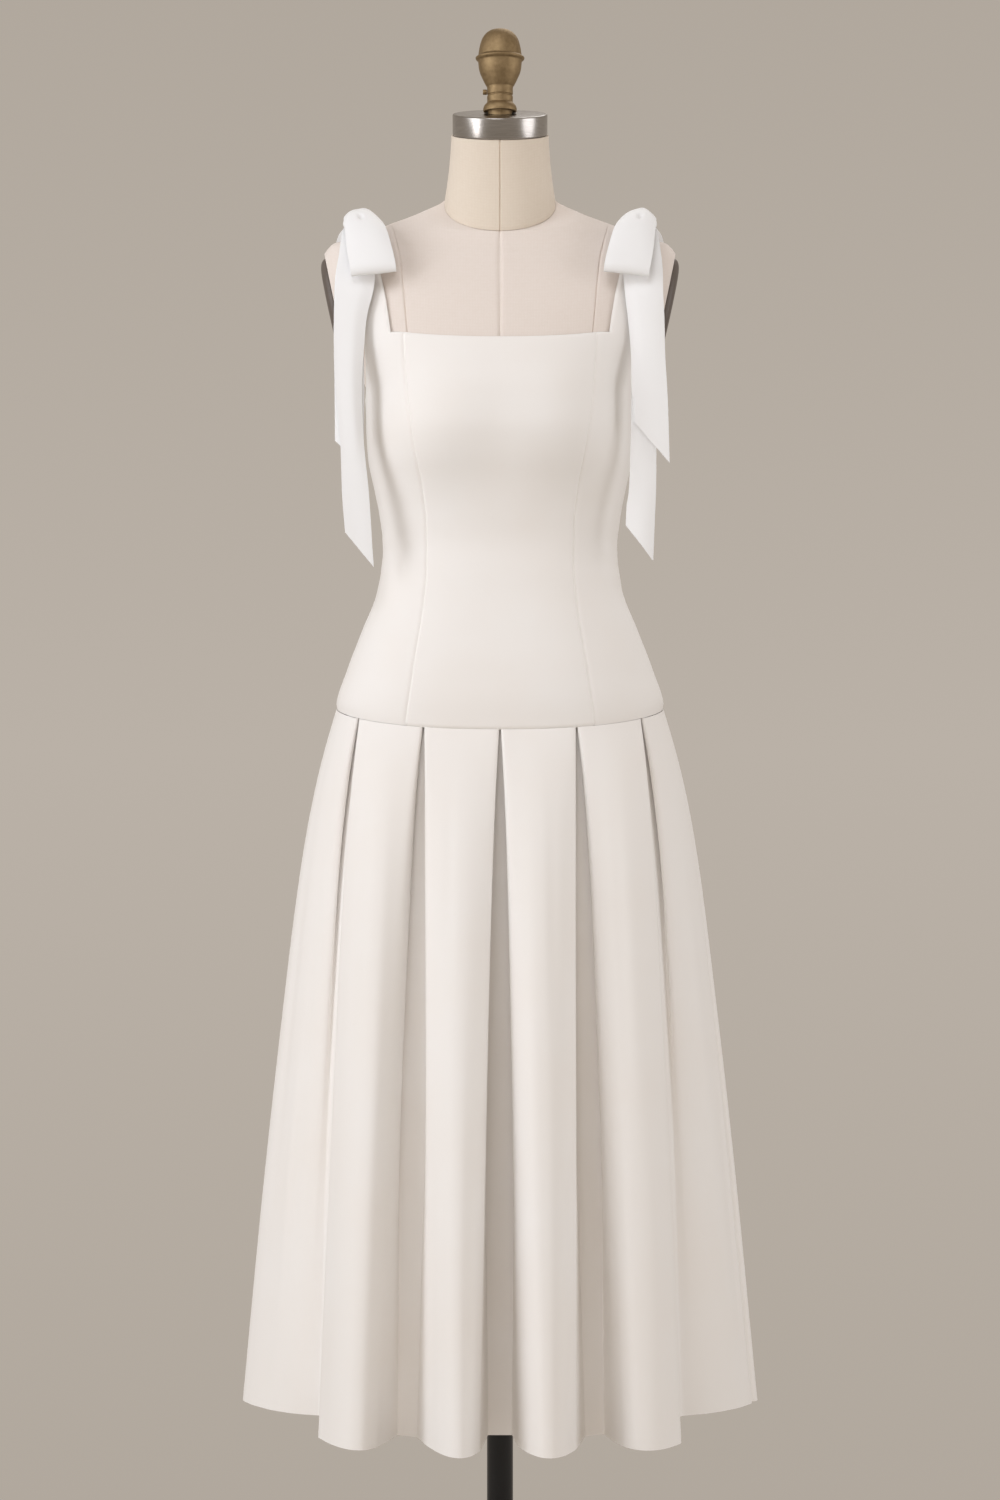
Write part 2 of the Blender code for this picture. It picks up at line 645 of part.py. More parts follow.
def bow(side, word):
    knot("bow_knot_" + word, side)
    ribbon("bow_front_loop_" + word, FRONT_LOOP, side, LOOP_POINTS)
    ribbon("bow_back_loop_" + word, BACK_LOOP, side, LOOP_POINTS)
    tail("bow_long_tail_" + word, LONG_TAIL[side], side)
    tail("bow_short_tail_" + word, SHORT_TAIL[side], side)


# ---------------------------------------------------------------- dress form
TORSO_SIDES = 36
TORSO_CLEARANCE = 1.3 * MM   # more room inside the dress, for the flats of both
TORSO_HEIGHTS = (0.835, 0.872, 0.910, 0.945, 0.980, 1.015, 1.050, 1.085, 1.120, 1.150, 1.180, 1.212, 1.245,
                 1.272, 1.300, 1.328, 1.355, 1.378, 1.392, 1.405, 1.419, 1.432, 1.443, 1.460, 1.495)


def ring(height):
    return [skin_point(2 * math.pi * i / TORSO_SIDES, height, -TORSO_CLEARANCE) for i in range(TORSO_SIDES)]


def torso():
    made = loft("form_torso", [ring(height) for height in TORSO_HEIGHTS], "linen")
    cut(made, half_space("cut_neck_seam", NECK_SEAM_CENTRE, NECK_SEAM_TILT, 0, True))
    for side in (-1, 1):
        centre = Vector((side * ARM_CUT_X, 0, ARM_CUT_Z))
        cutter = half_space("cut_armhole", centre, 0, side * (math.pi / 2 + ARM_CUT_TILT), True)
        cut(made, cutter)
    return made


NECK_SECTIONS = (            # height, half width, front and back from the middle, lean forward
    (1.385, 64.0, 61.0, 64.0, 6.0), (1.410, 60.5, 58.5, 62.5, 3.0), (1.443, 55.5, 54.0, 58.0, 1.0),
    (1.470, 51.5, 51.0, 51.0, -3.0), (1.500, 48.8, 48.8, 48.8, -10.0), (1.560, 47.0, 47.0, 47.0, -22.0),
)


def neck():
    rings = []
    for height, half, front, back, lean in NECK_SECTIONS:
        line = []
        for i in range(TORSO_SIDES):
            angle = 2 * math.pi * i / TORSO_SIDES
            depth = front if math.cos(angle) > 0 else back
            line.append(Vector((half * math.sin(angle), -depth * math.cos(angle) + lean, height / MM)) * MM)
        rings.append(line)
    made = loft("form_neck", rings, "linen")
    seam = NECK_SEAM_CENTRE + Vector((0, 0, 2 * SEAM_GAP))
    cut(made, half_space("cut_neck_foot", seam, NECK_SEAM_TILT, 0, False))
    under_cap = CAP_TOP + Matrix.Rotation(CAP_TILT, 3, "X") @ Vector((0, 0, -CAP_HEIGHT - SEAM_GAP))
    cut(made, half_space("cut_neck_top", under_cap, CAP_TILT, 0, True))
    return made


def cylinder(name, radius, depth, surface, sides=SCREW_STEPS, bevel=0.0):
    """An upright cylinder whose top is at the origin."""
    mesh = bpy.data.meshes.new(name)
    shape = bmesh.new()
    bmesh.ops.create_cone(shape, cap_ends=True, segments=sides, radius1=radius, radius2=radius, depth=depth)
    bmesh.ops.translate(shape, verts=shape.verts, vec=(0, 0, -depth / 2))
    shape.to_mesh(mesh)
    shape.free()
    made = add_object(name, mesh, surface)
    if bevel:
        edge = made.modifiers.new("edge", "BEVEL")
        edge.width = bevel
        edge.segments = 2
        edge.limit_method = "ANGLE"
        edge.angle_limit = math.radians(50)
    return made


def head_fittings():
    cap = cylinder("neck_cap", CAP_RADIUS, CAP_HEIGHT, "steel", sides=36, bevel=1.5 * MM)
    cap.rotation_euler = (CAP_TILT, 0, 0)
    cap.location = CAP_TOP
    profile = [(radius * MM, CAP_TOP.z + height * MM) for radius, height in FINIAL_PROFILE]
    finial = turned("finial", profile, "antiqued_brass")
    finial.location = (CAP_TOP.x, CAP_TOP.y, 0)
    seat = CAP_TOP + Vector((0, 0, SEAM_GAP))
    cut(finial, half_space("cut_finial_seat", seat, CAP_TILT, 0, False))
    screw = cylinder("finial_set_screw", 2.6 * MM, 4 * MM, "antiqued_brass", sides=12, bevel=0.5 * MM)
    screw.rotation_euler = (0, -math.pi / 2, 0)
    screw.location = (-(12.7 * MM + SEAM_GAP) - 4 * MM, CAP_TOP.y, CAP_TOP.z + 21.4 * MM)


def arm_plates():
    for side, word in ((-1, "left"), (1, "right")):
        plate = cylinder("arm_plate_" + word, 1.0, ARM_PLATE_THICK, "plate_brown", sides=32)
        for vertex in plate.data.vertices:
            share = ARM_PLATE_FACE if vertex.co.z > -ARM_PLATE_THICK / 2 else 1.0
            vertex.co.x *= ARM_PLATE_HALF[0] * share
            vertex.co.y *= ARM_PLATE_HALF[1] * share
        edge = plate.modifiers.new("edge", "BEVEL")
        edge.width = 2.5 * MM
        edge.segments = 2
        edge.limit_method = "ANGLE"
        edge.angle_limit = math.radians(42)
        plate.rotation_euler = (0, side * (math.pi / 2 + ARM_CUT_TILT), 0)
        down = Vector((-side * math.sin(ARM_CUT_TILT), 0, -math.cos(ARM_CUT_TILT)))
        outward = Vector((side * math.cos(ARM_CUT_TILT), 0, -math.sin(ARM_CUT_TILT)))
        face = Vector((side * ARM_CUT_X, 0.002, ARM_CUT_Z))
        plate.location = face + down * ARM_PLATE_DROP + outward * (ARM_PLATE_THICK + SEAM_GAP)


def stand():
    turned("stand_base", [
        (BASE_RADIUS - 5 * MM, BASE_HEIGHT), (BASE_RADIUS - 1.5 * MM, BASE_HEIGHT - 1.5 * MM),
        (BASE_RADIUS, BASE_HEIGHT - 5 * MM), (BASE_RADIUS, 0.0),
    ], "black_enamel", steps=40)
    collar_foot = BASE_HEIGHT + SEAM_GAP
    turned("stand_collar", [
        (18 * MM, collar_foot + 42 * MM), (20 * MM, collar_foot + 40 * MM), (20 * MM, collar_foot + 14 * MM),
        (24 * MM, collar_foot + 9 * MM), (34 * MM, collar_foot + 5 * MM), (36 * MM, collar_foot),
    ], "black_enamel")
    foot = collar_foot + 42 * MM + SEAM_GAP
    pole_top = FORM_BOTTOM_Z - 14 * MM
    pole = cylinder("stand_pole", POLE_RADIUS, pole_top - foot, "black_enamel", sides=24)
    pole.location = (0, 0, pole_top)
    socket = cylinder("pole_socket", 32 * MM, 14 * MM - 2 * SEAM_GAP, "black_enamel", bevel=2 * MM)
    socket.location = (0, 0, FORM_BOTTOM_Z - SEAM_GAP)


# ---------------------------------------------------------------- build
for leftover in list(bpy.data.objects):
    bpy.data.objects.remove(leftover, do_unlink=True)
dress_collection = bpy.data.collections.new("a_line_dress_on_form")
cutter_collection = bpy.data.collections.new("cutters")
bpy.context.scene.collection.children.link(dress_collection)
bpy.context.scene.collection.children.link(cutter_collection)

bodice_centre("bodice_front_centre", False, -1.0, 1.0)
bodice_centre("bodice_back_centre_right", True, 1.0, 0.0)
bodice_centre("bodice_back_centre_left", True, 0.0, -1.0)
for side_sign, side_word in ((-1, "left"), (1, "right")):
    bodice_side("bodice_side_front_" + side_word, side_sign, False)
    bodice_side("bodice_side_back_" + side_word, side_sign, True)
    bow(side_sign, side_word)
skirt("skirt_front", False)
skirt("skirt_back", True)
torso()
neck()
head_fittings()
arm_plates()
stand()
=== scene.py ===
import bisect
import math
from collections import Counter

import bmesh
import bpy
from mathutils import Matrix, Vector, noise


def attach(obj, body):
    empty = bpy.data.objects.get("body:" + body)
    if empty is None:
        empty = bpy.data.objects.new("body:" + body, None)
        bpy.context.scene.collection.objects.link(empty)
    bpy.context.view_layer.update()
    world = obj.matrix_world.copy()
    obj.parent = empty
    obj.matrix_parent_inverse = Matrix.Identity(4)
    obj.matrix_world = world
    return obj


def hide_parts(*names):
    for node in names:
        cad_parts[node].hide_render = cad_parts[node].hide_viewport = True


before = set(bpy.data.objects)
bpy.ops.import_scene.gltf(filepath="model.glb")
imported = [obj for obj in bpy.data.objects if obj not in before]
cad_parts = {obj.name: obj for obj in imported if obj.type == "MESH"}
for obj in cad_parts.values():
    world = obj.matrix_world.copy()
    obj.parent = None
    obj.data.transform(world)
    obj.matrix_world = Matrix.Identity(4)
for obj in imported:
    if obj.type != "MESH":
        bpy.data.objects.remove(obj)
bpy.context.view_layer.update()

# A dropped-waist dress on a linen-covered form. Metres, +Z up, the front faces -Y.
mm = 0.001
sides = ((-1, "left"), (1, "right"))     # as the camera sees them
camera = {"distance": 3.0, "height": 0.895, "lens": 72.0, "sensor": 36.0}


def through(points, at):  # smooth curve through (place, value) points, never past its own values
    places = [place for place, _ in points]
    at = min(max(at, places[0]), places[-1])
    span = min(max(bisect.bisect_right(places, at) - 1, 0), len(points) - 2)
    rises = [(b[1] - a[1]) / (b[0] - a[0]) for a, b in zip(points, points[1:])]

    def slope(index):
        if index == 0 or index == len(points) - 1:
            return rises[max(index - 1, 0)]
        before, after = rises[index - 1], rises[index]
        return 0.0 if before * after <= 0 else 2 * before * after / (before + after)

    return hermite(points[span], points[span + 1], slope(span), slope(span + 1), at)


def hermite(start, end, slopeIn, slopeOut, at):
    length = end[0] - start[0]
    part = (at - start[0]) / length
    return (
        start[1] * (1 + 2 * part) * (1 - part) ** 2
        + end[1] * part**2 * (3 - 2 * part)
        + slopeIn * length * part * (1 - part) ** 2
        - slopeOut * length * part**2 * (1 - part)
    )


def roundCurve(points, at):  # as through, but stays round at a turn
    places = [place for place, _ in points]
    span = min(max(bisect.bisect_right(places, at) - 1, 0), len(points) - 2)
    before, start, end = points[max(span - 1, 0)], points[span], points[span + 1]
    after = points[min(span + 2, len(points) - 1)]
    slopeIn = (end[1] - before[1]) / (end[0] - before[0])
    slopeOut = (after[1] - start[1]) / (after[0] - start[0])
    return hermite(start, end, slopeIn, slopeOut, at)


def lengthsAlong(points, least=0.0):  # how far along its line each point lies
    lengths = [0.0]
    for before, after in zip(points, points[1:]):
        lengths.append(lengths[-1] + max((after - before).length, least))
    return lengths


def curvesOf(places, rows):  # one curve for each column of the rows
    return [list(zip(places, column)) for column in zip(*rows)]


def smoothLine(points, count):  # count rows along the smooth curve through rows of numbers
    lengths = lengthsAlong([Vector(row[:3]) for row in points], 1e-6)
    curves = curvesOf(lengths, points)
    return [tuple(roundCurve(curve, lengths[-1] * i / (count - 1)) for curve in curves) for i in range(count)]


def smoothStep(low, high, at):
    part = min(max((at - low) / (high - low), 0.0), 1.0)
    return part * part * (3 - 2 * part)


def bell(at, centre, width):
    return math.exp(-(((at - centre) / width) ** 2))


def put(name, data, at=(0.0, 0.0, 0.0), turn=(0.0, 0.0, 0.0)):
    made = bpy.data.objects.new(name, data)
    made.location, made.rotation_euler = at, turn
    bpy.context.scene.collection.objects.link(made)
    return made


def newPiece(name, points, faces, surface, node, smoothAngle=50):
    mesh = bpy.data.meshes.new(name)
    mesh.from_pydata(points, [], faces)
    mesh.materials.append(surface)
    mesh.shade_smooth()
    mesh.set_sharp_from_angle(angle=math.radians(smoothAngle))
    piece = put(name, mesh)
    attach(piece, "root")
    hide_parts(node)
    return piece


def gridFaces(rows, width, spans):  # as many spans as points in a row close the row
    return [
        (r * width + c, r * width + (c + 1) % width, (r + 1) * width + (c + 1) % width, (r + 1) * width + c)
        for r in range(rows - 1)
        for c in range(spans)
    ]


def clothPiece(name, rows, surface, thick, offset=1.0):  # a thin shell through rows of points
    width = len(rows[0])
    faces = gridFaces(len(rows), width, width - 1)
    piece = newPiece(name + "_cloth", [point for row in rows for point in row], faces, surface, name, 70)
    uses = Counter(key for polygon in piece.data.polygons for key in polygon.edge_keys)
    for edge in piece.data.edges:
        edge.use_edge_sharp = edge.use_edge_sharp or uses[edge.key] == 1
    wall = piece.modifiers.new("wall", "SOLIDIFY")
    wall.thickness = thick
    wall.offset = offset
    wall.use_even_offset = False
    return piece


def closedLoft(name, rings, surface, node):  # a closed body through rings, from the bottom up
    count = len(rings[0])
    faces = gridFaces(len(rings), count, count)
    faces.append(tuple(reversed(range(count))))
    faces.append(tuple(range((len(rings) - 1) * count, len(rings) * count)))
    return newPiece(name, [point for ring in rings for point in ring], faces, surface, node)


def turnedPiece(name, profile, surface, node, centre=(0.0, 0.0), steps=64):  # profile: (radius, height)
    points = [(centre[0], centre[1], profile[0][1])]
    for radius, height in profile:
        for i in range(steps):
            turn = 2 * math.pi * i / steps
            points.append((centre[0] + radius * math.cos(turn), centre[1] + radius * math.sin(turn), height))
    points.append((centre[0], centre[1], profile[-1][1]))
    last = len(points) - 1
    faces = [(0, 1 + i, 1 + (i + 1) % steps) for i in range(steps)]
    for row in range(len(profile) - 1):
        for i in range(steps):
            a, b = 1 + row * steps, 1 + row * steps + steps
            faces.append((a + i, b + i, b + (i + 1) % steps, a + (i + 1) % steps))
    foot = 1 + (len(profile) - 1) * steps
    faces += [(last, foot + (i + 1) % steps, foot + i) for i in range(steps)]
    return newPiece(name, points, faces, surface, node, 35)


def finerProfile(rows, perSpan):  # (radius, height) rows with straight runs kept and round ones filled in
    fine = []
    for index in range(len(rows) - 1):
        before = rows[max(index - 1, 0)]
        after = rows[min(index + 2, len(rows) - 1)]
        a, b = rows[index], rows[index + 1]
        for i in range(perSpan):
            t = i / perSpan
            fine.append(tuple(
                0.5 * (2 * a[k] + (b[k] - before[k]) * t + (2 * before[k] - 5 * a[k] + 4 * b[k] - after[k]) * t * t
                       + (3 * a[k] - before[k] - 3 * b[k] + after[k]) * t**3)
                for k in (0, 1)
            ))
    return fine + [rows[-1]]


def linear(hexColour):  # sRGB hex to linear RGBA
    parts = [int(hexColour[i:i + 2], 16) / 255 for i in (1, 3, 5)]
    return (*[c / 12.92 if c <= 0.04045 else ((c + 0.055) / 1.055) ** 2.4 for c in parts], 1.0)


def addNode(tree, kind, settings=None, **links):  # links: an input's name, or i and its number, and a socket
    node = tree.nodes.new(kind)
    for key, value in (settings or {}).items():
        if key in node.inputs:
            node.inputs[key].default_value = value
        else:
            setattr(node, key, value)
    for key, socket in links.items():
        numbered = key[0] == "i" and key[1:].isdigit()
        tree.links.new(socket, node.inputs[int(key[1:]) if numbered else key.replace("_", " ")])
    return node


def newMaterial(name, **sockets):
    made = bpy.data.materials.new(name)
    made.use_nodes = True
    shader = made.node_tree.nodes["Principled BSDF"]
    for key, value in sockets.items():
        shader.inputs[key.replace("_", " ")].default_value = value
    return made, made.node_tree, shader


def addTone(tree, share, low, high, target):  # a colour between two, by a share
    tone = addNode(tree, "ShaderNodeMix", {"data_type": "RGBA"}, i0=share)
    tone.inputs[6].default_value = linear(low)
    tone.inputs[7].default_value = linear(high)
    tree.links.new(tone.outputs[2], target)


def addRelief(tree, shader, strength, distance, height):
    relief = addNode(tree, "ShaderNodeBump", {"Strength": strength, "Distance": distance}, Height=height)
    tree.links.new(relief.outputs["Normal"], shader.inputs["Normal"])


def scaled(tree, socket, factor, **settings):
    made = addNode(tree, "ShaderNodeMath", {"operation": "MULTIPLY", **settings}, i0=socket)
    made.inputs[1].default_value = factor
    return made.outputs[0]


print("materials")
crepe = {
    "face": "#f7f6f5",        # soft white with a hint of ivory
    "shade": "#f4f0ec",       # the warmer tone where the dye lies a little deeper
    "threadMm": 0.9,          # real crepe yarns lie 0.3 mm apart, drawn three times as coarse so that they show
    "grainMm": 2.6,           # pebbling of the twisted yarn
    "cloudMm": 90,            # slow change of tone
    "bump": 0.05,             # how much of the yarns' relief shows
    "relief": 0.4 * mm,
    "roughness": 0.68,
    "sheen": 0.22,
    # whiter, with its smooth side out
    "ribbon": {"face": "#f7f8fa", "shade": "#f4f5f6", "bump": 0.04, "roughness": 0.60, "sheen": 0.25},
}


def crepeMaterial(name, look):
    # polyester crepe, woven and heat set: a dry matt face with a soft light edge
    made, tree, shader = newMaterial(
        name, Roughness=look["roughness"], Sheen_Weight=look["sheen"], Sheen_Roughness=0.45, IOR=1.46,
        Sheen_Tint=linear("#fffaf2"), Specular_IOR_Level=0.32,
    )
    place = addNode(tree, "ShaderNodeTexCoord").outputs["Object"]
    cloud = addNode(tree, "ShaderNodeTexNoise", {
        "Scale": 1 / (crepe["cloudMm"] * mm), "Detail": 3.0, "Roughness": 0.5}, Vector=place)
    addTone(tree, cloud.outputs["Fac"], look["face"], look["shade"], shader.inputs["Base Color"])
    grain = addNode(tree, "ShaderNodeTexNoise", {"Scale": 1 / (crepe["grainMm"] * mm), "Detail": 2.0}, Vector=place)
    weft = addNode(tree, "ShaderNodeTexWave", {
        "Scale": 1 / (crepe["threadMm"] * mm) / math.tau * 2, "Distortion": 1.5, "Detail": 1.0,
        "bands_direction": "Z"}, Vector=place)
    both = addNode(tree, "ShaderNodeMath", {"operation": "ADD"}, i0=grain.outputs["Fac"], i1=weft.outputs["Fac"])
    addRelief(tree, shader, look["bump"], crepe["relief"], both.outputs[0])
    return made


crepeIvory = crepeMaterial("crepe", crepe)
crepeRibbon = crepeMaterial("crepe_ribbon", crepe["ribbon"])

linen = {
    "torso": ("#f1e9e4", "#e5dad1"),     # thread and slub
    "neck": ("#e9dfd2", "#dccfbe"),      # a yellower piece of the same canvas
    "threadMm": 1.5,          # canvas threads lie 0.6 mm apart, drawn coarser so that they show
    "bump": 0.10,
    "relief": 0.4 * mm,
}


def linenMaterial(part):
    # unbleached linen canvas stretched over the form: dry, with uneven threads each way
    made, tree, shader = newMaterial(
        "linen_canvas_" + part, Roughness=0.88, Sheen_Weight=0.12, Sheen_Roughness=0.6,
        IOR=1.5, Specular_IOR_Level=0.25,
    )
    place = addNode(tree, "ShaderNodeTexCoord").outputs["Object"]
    perMetre = 1 / (linen["threadMm"] * mm) / math.tau * 2
    warp, weft = (addNode(tree, "ShaderNodeTexWave", {
        "Scale": perMetre, "Distortion": 2.5, "Detail": 2.0, "Detail Scale": 0.6, "bands_direction": way,
    }, Vector=place) for way in "XZ")
    slub = addNode(tree, "ShaderNodeTexNoise", {"Scale": 220.0, "Detail": 4.0, "Roughness": 0.7}, Vector=place)
    cross = addNode(tree, "ShaderNodeMath", {"operation": "MULTIPLY"},
                    i0=warp.outputs["Fac"], i1=weft.outputs["Fac"])
    weave = addNode(tree, "ShaderNodeMath", {"operation": "ADD"}, i0=cross.outputs[0], i1=slub.outputs["Fac"])
    thread, slubTone = linen[part]
    addTone(tree, scaled(tree, weave.outputs[0], 0.5), slubTone, thread, shader.inputs["Base Color"])
    addRelief(tree, shader, linen["bump"], linen["relief"], weave.outputs[0])
    return made


def metalMaterial(name, light, dark, roughness, grainScale, bump, stretch=(1, 1, 1), metallic=1.0):
    made, tree, shader = newMaterial(name, Roughness=roughness, Metallic=metallic)
    place = addNode(tree, "ShaderNodeTexCoord").outputs["Object"]
    size = addNode(tree, "ShaderNodeMapping", {"Scale": stretch}, Vector=place)
    grain = addNode(tree, "ShaderNodeTexNoise", {"Scale": grainScale, "Detail": 5.0, "Roughness": 0.6},
                    Vector=size.outputs[0])
    addTone(tree, grain.outputs["Fac"], dark, light, shader.inputs["Base Color"])
    addRelief(tree, shader, bump, 0.3 * mm, grain.outputs["Fac"])
    return made


linenCanvas, neckCanvas = linenMaterial("torso"), linenMaterial("neck")
# steel, spun and brushed: clear streaks of light with the grain round the band
brushedSteel = metalMaterial("brushed_steel", "#b9b4af", "#938e89", roughness=0.26, grainScale=60.0, bump=0.05,
                             stretch=(1, 1, 14))
# brass, cast, aged and waxed: a dull, soft and uneven gleam
antiquedBrass = metalMaterial("antiqued_brass", "#ad9672", "#7d684b", roughness=0.58, grainScale=260.0, bump=0.5)
# sheet steel under stoved brown paint: flat and even, with a wide faint highlight
platePaint = metalMaterial("stoved_paint", "#6b6059", "#584f48", roughness=0.5, grainScale=90.0, bump=0.05,
                           metallic=0.0)
# cast iron and steel under sprayed black enamel: a clean highlight and a slight orange peel
blackEnamel = metalMaterial("black_enamel", "#17171a", "#0e0e10", roughness=0.34, grainScale=70.0, bump=0.04,
                            metallic=0.0)


form = {                     # the form's skin, which the dress follows
    "columns": ("height", "halfWidth", "front", "back", "squareness"),
    "sections": (            # millimetres
        (835, 140.0, 86.0, 98.0, 2.3),
        (880, 148.0, 95.0, 105.0, 2.3),
        (937, 151.5, 100.0, 108.0, 2.3),
        (975, 143.0, 97.5, 107.0, 2.3),
        (1013, 131.5, 92.0, 100.0, 2.3),
        (1054, 118.0, 86.0, 90.5, 2.25),
        (1096, 113.9, 83.6, 84.0, 2.2),
        (1127, 116.8, 88.0, 85.0, 2.2),
        (1155, 122.1, 95.0, 88.5, 2.25),
        (1184, 128.1, 105.0, 93.5, 2.3),
        (1215, 130.3, 112.0, 98.0, 2.3),
        (1245, 131.4, 113.0, 101.0, 2.3),
        (1270, 141.0, 109.0, 102.5, 2.3),
        (1298, 157.0, 102.5, 102.5, 2.3),
        (1330, 171.0, 91.0, 99.5, 2.3),
        (1360, 178.0, 77.0, 92.0, 2.3),
        (1380, 178.5, 67.0, 84.0, 2.2),
        (1392, 172.0, 60.0, 77.0, 2.1),
        (1405, 146.0, 55.0, 69.0, 1.9),
        (1419, 114.0, 53.0, 65.0, 1.55),
        (1432, 80.0, 53.0, 61.0, 1.45),
        (1443, 60.0, 53.0, 57.5, 1.6),
        (1460, 54.0, 51.0, 51.5, 2.0),
        (1495, 50.0, 47.0, 41.0, 2.0),
    ),
    "bust": {"rise": 9 * mm, "x": 0.066, "z": 1.205, "width": 0.050, "height": 0.052},
    "clearance": 1.3 * mm,
}
formCurves = {
    name: [(row[0] * mm, row[i] * (1 if name == "squareness" else mm)) for row in form["sections"]]
    for i, name in enumerate(form["columns"]) if i
}
sectionMemory = {}


def sectionAt(height):
    key = round(height, 6)
    if key not in sectionMemory:
        values = [through(formCurves[name], height) for name in form["columns"][1:]]
        sectionMemory[key] = (*values[:3], 2 / values[3])
    return sectionMemory[key]


def skinPoint(angle, height, out=0.0):  # angle 0 is the centre front, 90 degrees is +X
    half, front, back, power = sectionAt(height)
    across, along = math.sin(angle), math.cos(angle)
    x = math.copysign((half + out) * abs(across) ** power, across)
    y = -math.copysign(((front if along > 0 else back) + out) * abs(along) ** power, along)
    if along > 0:
        bust = form["bust"]
        fullness = bell(abs(x), bust["x"], bust["width"]) * bell(height, bust["z"], bust["height"])
        y -= bust["rise"] * fullness * min(1.0, along * 2)
    return Vector((x, y, height))


def angleAt(x, height, out=0.0):
    half, _, _, power = sectionAt(height)
    return math.asin(min(1.0, abs(x) / (half + out)) ** (1 / power))


print("bodice")
dress = {
    "wall": 1.0 * mm,
    "easeAt": ((0.900, 12.0 * mm), (0.937, 12.0 * mm), (0.975, 9.5 * mm), (1.013, 6.5 * mm),
               (1.054, 4.5 * mm), (1.096, 3.4 * mm), (1.500, 3.4 * mm)),  # form's skin to the dress's outside
    "hipSeam": {"side": 0.936, "dip": 0.021, "power": 1.25},
    "hemZ": 0.250,
    "neckline": {"corner": 1.3003, "dip": 6.6 * mm},
    "underarm": 1.240,
    "gap": 0.3 * mm,
}
bodice = {
    "princess": (            # height, distance from the centre line
        (0.905, 0.0930), (0.922, 0.0915), (0.955, 0.0868), (0.995, 0.0810), (1.035, 0.0750),
        (1.075, 0.0718), (1.110, 0.0718), (1.150, 0.0755), (1.190, 0.0830), (1.230, 0.0887),
        (1.262, 0.0915), (1.301, 0.0942),
    ),
    "sideTable": ("innerX", "innerZ", "outerX", "outerZ", "lift"),
    "sideRows": (            # side panel above the underarm, up into its strap, in millimetres
        (92.6, 1276.0, 133.2, 1243.5, 0.0),
        (93.6, 1291.0, 131.4, 1255.0, 0.0),
        (94.0, 1300.3, 131.0, 1272.0, 0.0),
        (106.5, 1301.0, 132.6, 1293.0, 0.0),
        (109.5, 1322.0, 137.2, 1320.0, 0.2),
        (114.5, 1350.0, 143.0, 1348.0, 0.6),
        (119.5, 1374.0, 148.0, 1372.0, 1.2),
        (124.0, 1392.0, 151.0, 1390.0, 2.4),
        (126.0, 1399.0, 151.5, 1397.0, 3.4),
        (127.5, 1403.5, 151.0, 1399.5, 3.4),
        (130.0, 1408.5, 149.5, 1402.0, 3.4),
    ),
    "underarmInner": 1.262,
    "seamSink": 1.3 * mm,    # how far a seam pulls the cloth in
    "seamReach": 3.4 * mm,   # and how far from it that shows
    "edgeRoll": 0.9 * mm,    # turned edge at the neckline and armhole
    "edgeReach": 1.6 * mm,   # how far from an armhole's or a strap's edge the roll shows
    "rollShare": 0.0044,     # the same at the neckline, as a share of the panel's height
    "sinkMost": 1.2 * mm,
    "gather": 1.1 * mm,      # lengthwise folds of the strap at its knot
    "princessFoot": 0.92,    # height at which the princess seam meets the skirt
    "nearRadius": {"back": 0.1, "side": 0.13, "panel": 0.12},   # body's radius, which turns lengths into angles
    "columns": 44,
    "sideColumnCount": 30,
    "rows": 96,
    "lowRows": 9,            # coarse rows of a side panel from the skirt to the underarm
    # soft creases: height, angle in degrees, half height, half width in degrees, depth in mm
    "creases": (
        (1.085, 62, 0.010, 26, -0.9), (1.062, 70, 0.009, 22, -0.8), (1.108, 76, 0.008, 18, -0.7),
        (1.020, 40, 0.030, 9, -0.5), (1.150, 72, 0.022, 10, 0.8), (1.222, 78, 0.014, 12, -0.8),
        (0.975, 18, 0.022, 10, 0.5), (0.968, 60, 0.020, 9, -0.6), (1.262, 30, 0.018, 22, 0.5),
        (1.128, 22, 0.030, 9, -0.5), (1.090, 8, 0.012, 20, -0.35),
    ),
}


def easeAt(height):
    return through(dress["easeAt"], height)


def hipSeamAt(angle):
    seam = dress["hipSeam"]
    return seam["side"] - seam["dip"] * abs(math.cos(angle)) ** seam["power"]


def princessAt(height):
    return through(bodice["princess"], height)


def panelAngle(x, height):
    return angleAt(x, height, easeAt(height) - dress["wall"])


def creaseDepth(angle, height, lopsided):  # the listed creases, not quite the same on both sides
    total = 0.0
    degrees = math.degrees(angle)
    for z, at, halfHeight, halfWidth, depth in bodice["creases"]:
        for side in (-1, 1):
            shift = lopsided * side * 0.006
            total += depth * mm * bell(height + shift, z, halfHeight) * bell(degrees, side * at, halfWidth)
    return total


def dressPoint(angle, height, back, lift=0.0, sink=0.0):  # a back panel's angle counts from the centre back
    crease = creaseDepth(angle, height, -1.0 if back else 1.0)
    out = easeAt(height) - dress["wall"] + lift + crease - sink
    return skinPoint(math.copysign(math.pi, angle) - angle if back else angle, height, out)


def seamSink(distance):
    return bodice["seamSink"] * max(0.0, 1 - distance / bodice["seamReach"]) ** 2


def spread(count):  # shares from 0 to 1, closer together near both ends
    even = [i / (count - 1) for i in range(count)]
    return [share - 0.13 * math.sin(2 * math.pi * share) for share in even]


